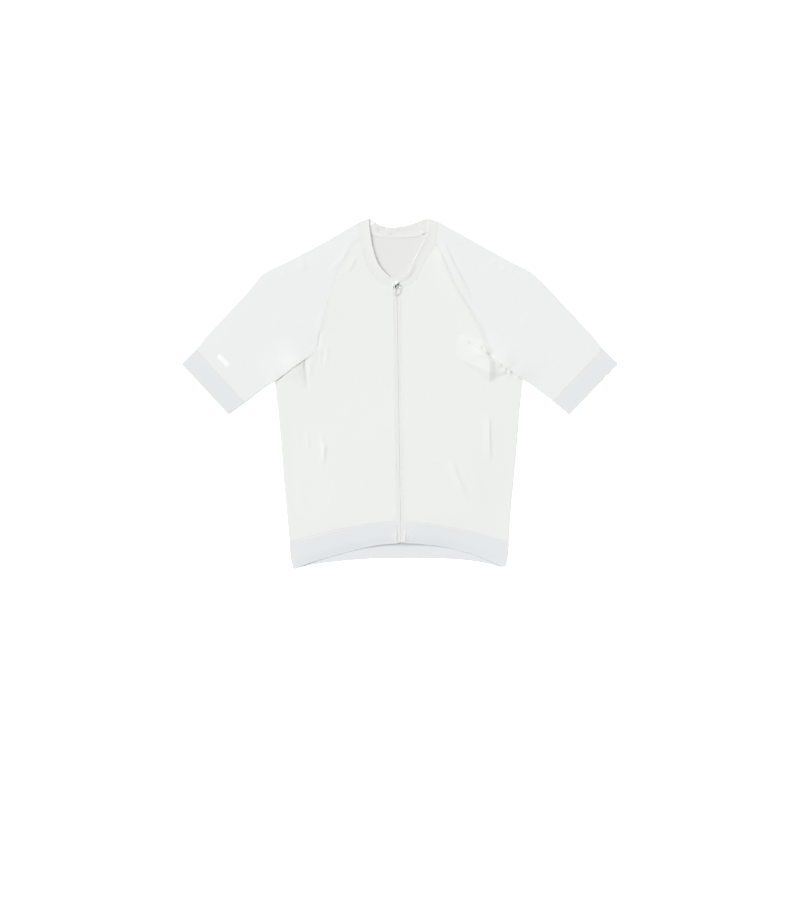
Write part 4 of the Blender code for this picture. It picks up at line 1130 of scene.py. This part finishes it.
left_rows, left_out = shifted(COLLAR_LEFT, -1)
right_rows, right_out = shifted(COLLAR_RIGHT, 1)
neck_rows = np.array(COLLAR_BACK)
neck_rows[0] = left_rows[-1, :4]
neck_rows[-1] = right_rows[-1, :4]
back_neck = refine(neck_rows, COLLAR_GRID)
t = across[..., None]
plan = between(back_neck[:, None, 0:2], back_neck[:, None, 2:4], t)
rise = BACK_STAND * across ** 2 + fold_height(COLLAR_FOLDS, plan[..., 0], plan[..., 1])
rise = np.maximum(rise, 0.0)
ends = smooth(0.0, 12.0, np.minimum(plan[..., 0] - plan[:1, :, 0], plan[-1:, :, 0] - plan[..., 0]))
back_lines = lifted(plan, rise * ends)
collar_left, collar_right = collar_front(left_rows), collar_front(right_rows)
collar_grid = np.concatenate((collar_left, collar_fold(left_rows, left_out), back_lines,
                              collar_fold(right_rows, right_out)[::-1], collar_right[::-1]))
collar_cloth = knit("collar_knit", COLLAR_LIGHT, COLLAR_DARK, wale=0.8, relief=0.05)
collar = cloth("collar_band", collar_grid, collar_cloth, ["collar"],
               wall=COLLAR_WALL)

# ---- Neck tape ----------------------------------------------------------------------
# A narrow light tape sewn over the collar seam inside the back of the neck.
TAPE_REACH = (-55.0, 46.0)
TAPE_HALF = 2.9
TAPE_RISE = 0.12
TAPE_LIGHT = (0.87, 0.875, 0.86)

rows = refine(COLLAR_BACK, COLLAR_GRID)
rows = rows[(rows[:, 0] > TAPE_REACH[0]) & (rows[:, 0] < TAPE_REACH[1])]
offset = np.linspace(-TAPE_HALF, TAPE_HALF, 9)
tape_x = np.repeat(rows[:, :1], len(offset), axis=1)
tape_y = rows[:, 1:2] + offset
tape_z = CLOTH + TAPE_RISE * (1 - (offset / TAPE_HALF) ** 4) + 0 * tape_x
tape_z += (COLLAR_WALL - CLOTH) * smooth(-TAPE_HALF, TAPE_HALF / 2, offset)
tape_grid = np.stack((tape_x, tape_y, tape_z), -1)
tape_cloth = knit("neck_tape", TAPE_LIGHT, COLLAR_LIGHT, wale=0.6, relief=0.05, rib=0.8)
neck_tape = cloth("neck_tape", tape_grid, tape_cloth, [], wall=0.5)

# ---- Zip ----------------------------------------------------------------------------
# Two woven tapes between the fronts with a closed nylon coil, and a small moulded box
# at its foot.
CHAIN_RISE = 0.4
BOX_SIZE = (8.0, 8.6, 2.4)
BOX_Y = -286.2
BOX_DEPTH = 2.3
TAPE_SINK = 0.05
TAPE_EDGE = 0.35                # half of the gap between the two tapes
TAPE_END = -291.4
COIL_PITCH = 1.3
COIL_WIRE = 0.25
COIL_SINK = 0.75
COIL_REACH = (0.6, -1.1)
COIL_SIDES = 6
COIL_STEPS = 5
WOVEN_LIGHT = (0.848, 0.854, 0.835)
WOVEN_DARK = (0.815, 0.822, 0.805)
COIL_LIGHT = (0.84, 0.85, 0.83)
COIL_DARK = (0.80, 0.81, 0.79)


def strip(near, far, low, high, rise, count, columns):
    """A strip along the zip between two offsets from its centre line."""
    y = np.linspace(low, high, count)[:, None] + np.zeros(columns)
    x = zip_x(y) + np.linspace(near, far, columns)
    z = top_height(zip_x(y), y) + rise
    return np.stack((x, y, z), -1)


zip_low, zip_high = BOX_Y + BOX_SIZE[1] / 2 + SEAM, ZIP_HEAD[1] - 1.0
woven_cloth = knit("woven_tape", WOVEN_LIGHT, WOVEN_DARK, wale=0.5, relief=0.06,
                   roughness=0.7, rib=0.6)
for side, name in ((-1, "left"), (1, "right")):
    offsets = sorted((side * TAPE_EDGE, side * (ZIP_HALF - SEWN_GAP)))
    grid = strip(*offsets, TAPE_END, zip_high, -TAPE_SINK, 214, 12)
    grid[..., 2] += TAPE_SINK * (1 - smooth(0.0, 2.0, np.abs(grid[..., 0] - zip_x(grid[..., 1]))))
    tape = cloth("zip_tape_woven_" + name, grid, woven_cloth,
                 ["zip_tape_" + name], wall=0.6)

coil_nylon = speckled("nylon_coil", COIL_LIGHT, COIL_DARK, 900.0, 0.34, 0.15, (0.2, 0.02))
coil_y = np.arange(zip_low, zip_high - 4.0, COIL_PITCH)
centre = np.stack((zip_x(coil_y), coil_y, top_height(zip_x(coil_y), coil_y) - COIL_SINK), -1)
halfway = (centre[:-1] + centre[1:]) / 2
coil = grown("zip_coil", [centre, halfway[::-1]],
             bow_rows("coil_links", COIL_SIDES, COIL_STEPS, coil_nylon),
             {"Pitch": COIL_PITCH, "Thread": COIL_WIRE, "Start": (0.0, COIL_REACH[0], 0.0),
              "Middle": (0.25 * COIL_PITCH, 0.0, 2.4 * COIL_WIRE),
              "End": (0.0, COIL_REACH[1], 0.0)})
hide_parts("zip_chain")


def moulded(name, size, centre, bevel, segments):
    """A box with rounded edges; sizes in millimetres."""
    mesh = bpy.data.meshes.new(name)
    shape = bmesh.new()
    bmesh.ops.create_cube(shape, size=1.0)
    bmesh.ops.scale(shape, vec=[part * MM for part in size], verts=shape.verts)
    bmesh.ops.translate(shape, vec=metres(centre), verts=shape.verts)
    bmesh.ops.bevel(shape, geom=shape.edges[:], offset=bevel * MM, segments=segments,
                    profile=0.5, affect="EDGES", clamp_overlap=True)
    shape.to_mesh(mesh)
    shape.free()
    mesh.shade_smooth()
    return mesh


def joined(name, meshes, materials, body, nodes):
    """One piece from several closed meshes, each in its own finish."""
    whole = bmesh.new()
    marks = []
    for i, mesh in enumerate(meshes):
        whole.from_mesh(mesh)
        marks += [min(i, len(materials) - 1)] * len(mesh.polygons)
        bpy.data.meshes.remove(mesh)
    mesh = bpy.data.meshes.new(name)
    whole.to_mesh(mesh)
    whole.free()
    mesh.shade_smooth()
    for material in materials:
        mesh.materials.append(material)
    mesh.polygons.foreach_set("material_index", marks)
    return piece_of(name, mesh, nodes, body)


box_x = zip_x(BOX_Y)
box_z = float(top_height(np.array((box_x,)), np.array((BOX_Y,)))[0]) - BOX_DEPTH
box_meshes = [
    moulded("box", (BOX_SIZE[0], BOX_SIZE[1], BOX_SIZE[2] - 0.3),
            (box_x, BOX_Y, box_z + BOX_SIZE[2] / 2 - 0.15), 0.6, 3),
    moulded("rib", (1.0, BOX_SIZE[1] - 1.6, 0.6), (box_x - 1.4, BOX_Y, box_z + 2.2), 0.25, 2),
    moulded("rib", (1.0, BOX_SIZE[1] - 1.6, 0.6), (box_x + 1.4, BOX_Y, box_z + 2.2), 0.25, 2),
]
box_nylon = speckled("moulded_nylon", COIL_LIGHT, COIL_DARK, 900.0, 0.34, 0.15, (0.35, 0.02))
joined("zip_foot_box", box_meshes, [box_nylon], "garment", ["zip_box"])

# ---- Slider and pull ----------------------------------------------------------------
# A small die-cast slider at the head of the zip, lacquered white, and a bent wire loop that
# swings in its bridge. The bridge on its back under the flap and a crescent beside it are near
# black: painted shadow under the flap's edge.
PULL_X = -5.9
PULL_AXIS_Y = 211.0
PULL_WIRE = 0.6
PULL_HALF = 4.75
PULL_REACH = 18.3
PULL_CORNER = 2.2
PULL_TILT = math.radians(5.6)
SLIDER_SIZE = (7.0, 13.0, 1.3)
SLIDER_SINK = 0.8               # of its lower face in the zip
SLIDER_Y = 212.6
BRIDGE_HALF = 2.4
BRIDGE_WIRE = 0.45
AXIS_Z = 5.91
LACQUER_LIGHT = (0.96, 0.965, 0.95)
LACQUER_DARK = (0.92, 0.925, 0.91)
WIRE_LIGHT = (0.90, 0.905, 0.89)
WIRE_DARK = (0.82, 0.83, 0.81)
# Near black: painted shadow under the flap's edge, not the metal's own colour.
PAINTED_SHADOW_LIGHT = (0.075, 0.078, 0.075)
PAINTED_SHADOW_DARK = (0.03, 0.032, 0.03)
# Points of a dark crescent beside the bridge, a painted shadow of the flap's edge.
SHADOW_CRESCENT = ((-11.8, 205.2), (-10.7, 207.6), (-8.6, 209.8), (-5.8, 211.8), (-2.2, 213.6))
SHADOW_CRESCENT_WIRE = 1.15


def ring_faces(rings, sides, closed=False):
    """Faces between rings of points, each ring joined to the next."""
    faces = []
    for i in range(rings if closed else rings - 1):
        j = (i + 1) % rings
        for k in range(sides):
            m = (k + 1) % sides
            faces.append((i * sides + k, i * sides + m, j * sides + m, j * sides + k))
    return faces


def tube_mesh(name, points, radius, closed, sides=12):
    """A round wire along points in millimetres."""
    points = np.asarray(points, float)
    if closed:
        ahead = np.roll(points, -1, axis=0) - np.roll(points, 1, axis=0)
    else:
        ahead = np.gradient(points, axis=0)
    ahead /= np.linalg.norm(ahead, axis=1, keepdims=True)
    side = np.cross(ahead, (0.0, 0.0, 1.0))
    weak = np.linalg.norm(side, axis=1) < 0.2
    side[weak] = np.cross(ahead[weak], (1.0, 0.0, 0.0))
    for i in range(1, len(side)):
        if side[i] @ side[i - 1] < 0:
            side[i] = -side[i]
    side /= np.linalg.norm(side, axis=1, keepdims=True)
    up = np.cross(side, ahead)
    angle = np.linspace(0.0, 2 * math.pi, sides, endpoint=False)
    ring = (side[:, None] * np.cos(angle)[:, None] + up[:, None] * np.sin(angle)[:, None])
    flat = (points[:, None] + ring * radius).reshape(-1, 3)
    faces = ring_faces(len(points), sides, closed)
    if not closed:
        faces.append(tuple(range(sides))[::-1])
        faces.append(tuple((len(points) - 1) * sides + k for k in range(sides)))
    mesh = bpy.data.meshes.new(name)
    mesh.from_pydata(metres(flat).tolist(), [], faces)
    shape = bmesh.new()
    shape.from_mesh(mesh)
    bmesh.ops.recalc_face_normals(shape, faces=shape.faces)
    shape.to_mesh(mesh)
    shape.free()
    mesh.shade_smooth()
    return mesh


def metal(name, light, dark, roughness, metallic):
    """Smooth metal with faint specks: lacquered, satin, or near black as painted shadow."""
    return speckled(name, light, dark, 700.0, roughness, 0.2, (0.15, 0.02), 3.0, metallic)


white_lacquer = metal("white_lacquer", LACQUER_LIGHT, LACQUER_DARK, 0.3, 0.0)
wire_metal = metal("satin_wire", WIRE_LIGHT, WIRE_DARK, 0.25, 0.5)
# Near-black finish of the bridge and the crescent: painted shadow.
painted_shadow_metal = metal("painted_shadow_dark_metal", PAINTED_SHADOW_LIGHT, PAINTED_SHADOW_DARK, 0.45, 0.3)
here = np.array(((PULL_X, SLIDER_Y),))
slider_top = float(top_height(here[:, 0], here[:, 1])[0]) - SLIDER_SINK + SEAM \
    + CHAIN_RISE + SLIDER_SIZE[2]
angle = np.linspace(0.0, math.pi, 13)
bridge = np.stack((np.full(13, PULL_X), PULL_AXIS_Y - BRIDGE_HALF * np.cos(angle),
                   slider_top - 0.5 + (AXIS_Z + 1.3 - slider_top) * np.sin(angle) ** 0.5), -1)
shadow_crescent = refine(SHADOW_CRESCENT, 0.8)[:, :2]
shadow_crescent = np.column_stack((shadow_crescent, np.full(len(shadow_crescent), slider_top)))
plate_z = slider_top - SLIDER_SIZE[2] / 2
slider_meshes = [
    moulded("plate", (SLIDER_SIZE[0] * 0.72, SLIDER_SIZE[1], SLIDER_SIZE[2]),
            (PULL_X, SLIDER_Y, plate_z), 0.6, 3),
    moulded("shoulder", (SLIDER_SIZE[0], SLIDER_SIZE[1] * 0.4, SLIDER_SIZE[2] - 0.1),
            (PULL_X, SLIDER_Y + SLIDER_SIZE[1] * 0.27, plate_z), 0.7, 3),
    tube_mesh("bridge", bridge, BRIDGE_WIRE, False),
    tube_mesh("shadow_crescent", shadow_crescent, SHADOW_CRESCENT_WIRE, False),
]
# The bridge and the crescent take the near-black painted shadow.
joined("zip_slider", slider_meshes, [white_lacquer, white_lacquer, painted_shadow_metal, painted_shadow_metal],
       "garment", ["slider"])

inner = PULL_HALF - PULL_CORNER
outline = [(-inner, 0.0), (-inner / 2, 0.0), (0.0, 0.0), (inner / 2, 0.0), (inner, 0.0)]
for angle in np.linspace(0.0, math.pi / 2, 7)[1:]:
    outline.append((inner + PULL_CORNER * math.sin(angle),
                    -PULL_CORNER + PULL_CORNER * math.cos(angle)))
bend_y = PULL_HALF - PULL_REACH
outline.append((PULL_HALF, (bend_y - PULL_CORNER) / 2))
for angle in np.linspace(0.0, math.pi, 19):
    outline.append((PULL_HALF * math.cos(angle), bend_y - PULL_HALF * math.sin(angle)))
outline.append((-PULL_HALF, (bend_y - PULL_CORNER) / 2))
for angle in np.linspace(0.0, math.pi / 2, 7)[:-1]:
    outline.append((-inner - PULL_CORNER * math.cos(angle),
                    -PULL_CORNER + PULL_CORNER * math.sin(angle)))
loop = [(PULL_X + x, PULL_AXIS_Y + y * math.cos(PULL_TILT), AXIS_Z + y * math.sin(PULL_TILT))
        for x, y in outline]
joined("pull_loop", [tube_mesh("loop", loop, PULL_WIRE, True)], [wire_metal], "zip_pull",
       ["pull"])

# ---- Zip garage ---------------------------------------------------------------------
# The binding of the right collar edge, a folded strip of the collar cloth. At its end it
# widens into a small flap that bridges the head of the zip and guards the chin.

# Binding from its free end on: lower x, lower y, upper x, upper y, and the place of its
# lower edge across the collar, from 0 at the seam to 1.
BINDING = (
    (-13.6, 208.2, -16, 221, 0), (-12, 209.4, -13.6, 226.2, 0), (-9.8, 211.8, -10.4, 227.8, 0.1),
    (-6.8, 214.2, -6.6, 228.1, 0.25), (-3.2, 215.8, -3, 228.2, 0.35),
    (0.8, 216.6, 1.2, 228.2, 0.4), (5, 217.6, 5.4, 228.3, 0.45), (9.2, 219.2, 8.8, 228.5, 0.5),
    (13.6, 221.6, 11, 229.4, 0.5), (17.6, 224.8, 13.4, 231.6, 0.55), (21.6, 229.2, 15.8, 235, 0.6),
    (25.8, 235.8, 18.8, 240, 0.6), (29.8, 243.8, 22.6, 248.8, 0.6), (34, 253, 27.2, 258.4, 0.6),
    (39.2, 263, 32.6, 269.4, 0.65), (45, 273, 38.6, 280.6, 0.7),
)
BINDING_RISE = 0.45             # of its upper face over the collar
BINDING_END = (11.0, 15.0)      # rows between which it sinks into the collar
FLAP_RISE = 0.3                 # more where it bridges the slider
FLAP_REACH = (17.0, 8.0)        # to the left and to the right of it
BINDING_WALL = 0.8
FLAP_STEPS = 10

flap = refine(BINDING, 0.9)
t = spread(0.0, FLAP_STEPS)[None]
flap_x = between(flap[:, 0:1], flap[:, 2:3], t)
flap_y = between(flap[:, 1:2], flap[:, 3:4], t)
place = flap[:, 4:5] * (1 - t) + t
stand = np.interp(flap_x, [row[2] for row in COLLAR_RIGHT], [row[4] for row in COLLAR_RIGHT])
reach = np.where(flap_x < PULL_X, *FLAP_REACH)
bridged = bell(flap_x - PULL_X, reach) * (1 - 0.6 * smooth(0.0, 1.0, t)) * FLAP_RISE
round_edge = 0.65 * (1 - np.minimum(t * 2.2, 1.0)) ** 2 * smooth(0.0, 8.0, flap_x)
flap_z = top_height(flap_x, flap_y) + stand * place ** 3 + BINDING_RISE - round_edge
flap_z = flap_z - 0.9 * smooth(*BINDING_END, flap[:, -1:]) + bridged
flap_z -= 0.25 * smooth(1.0, 0.0, flap[:, -1:])
flap_grid = np.stack((flap_x, flap_y, flap_z), -1)
garage = cloth("zip_flap", flap_grid, collar_cloth, ["zip_garage"],
               wall=BINDING_WALL)

# ---- Sewing -------------------------------------------------------------------------
# A row of stitches on each side of the raglan, collar and band seams, one beside the zip
# and one along the neck tape.
raglan_paths, zip_paths, hem_paths, cuff_paths, neck_paths = [], [], [], [], []
for side in (-1, 1):
    grid, share, edge = fronts[side]
    seam_rows = np.flatnonzero((edge[:, 2] <= 0) & (edge[:, 1] > 96.0))
    raglan_paths.append(grid[seam_rows, -CURL_STEPS - 1])
    zip_paths.append(grid[6:-6, 5])
    hem_paths.append(grid[4, 5:-CURL_STEPS])
    neck_paths.append(grid[-5, 5:-CURL_STEPS])
    grid, rows = sleeves[side]
    seam_rows = np.flatnonzero(rows[:, -1] < RAGLAN_END - 0.4)
    raglan_paths.append(grid[seam_rows, CURL_STEPS])
    cuff_paths.append(grid[-5, CURL_STEPS + 2:CURL_STEPS + UPPER_COLUMNS])
    cuff_paths.append(cuffs[side][4, CURL_STEPS + 2:CURL_STEPS + UPPER_COLUMNS])
    hem_paths.append(hem_parts[side][5:, 4])
    zip_paths.append(hem_parts[side][5, 2:-2])
sewn("raglan_stitches", raglan_paths)
sewn("zip_stitches", zip_paths)
sewn("hem_stitches", hem_paths)
sewn("cuff_stitches", cuff_paths)
neck_paths += [collar_left[:, 4], collar_right[:, 4], tape_grid[1:-1, 7]]
sewn("neck_stitches", neck_paths)
sewn("flap_stitches", [flap_grid[1:-6, 6]], pitch=2.2)

# ---- Sleeve tab ---------------------------------------------------------------------
# A plain white reflective tab, heat-pressed on the left sleeve beside its band.
TAB_CENTRE = (-343.0, 63.0)
TAB_SIZE = (31.0, 9.5)
TAB_POINTS = 48
TAB_TURN = math.atan2(-41.4 - 58.0, -334.1 + 426.5)
TAB_WHITE = (0.985, 0.99, 0.985)
TAB_PALE = (0.955, 0.96, 0.955)

film = speckled("reflective_film", TAB_WHITE, TAB_PALE, 1500.0, 0.35, 0.15, (0.2, 0.02))
angle = np.linspace(0.0, 2 * math.pi, TAB_POINTS, endpoint=False)
ring = np.stack((np.cos(angle), np.sin(angle)), -1)
ring = np.sign(ring) * np.abs(ring) ** 0.35 * (TAB_SIZE[0] / 2, TAB_SIZE[1] / 2)
turn = np.array(((math.cos(TAB_TURN), math.sin(TAB_TURN)),
                 (-math.sin(TAB_TURN), math.cos(TAB_TURN))))
discs = [ring * size @ turn + TAB_CENTRE for size in (1.0, 0.97, 0.6, 0.2)]
rises = (0.02, 0.16, 0.18, 0.18)
points = []
for disc, rise in zip(discs, rises):
    z = top_height(disc[:, 0], disc[:, 1]) + rise
    points += list(np.column_stack((disc, z)))
faces = ring_faces(len(discs), TAB_POINTS)
faces.append(tuple(range(3 * TAB_POINTS, 4 * TAB_POINTS)))
mesh = bpy.data.meshes.new("sleeve_tab")
mesh.from_pydata(metres(points).tolist(), [], faces)
mesh.shade_smooth()
mesh.materials.append(film)
piece_of("sleeve_tab", mesh)

low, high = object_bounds()
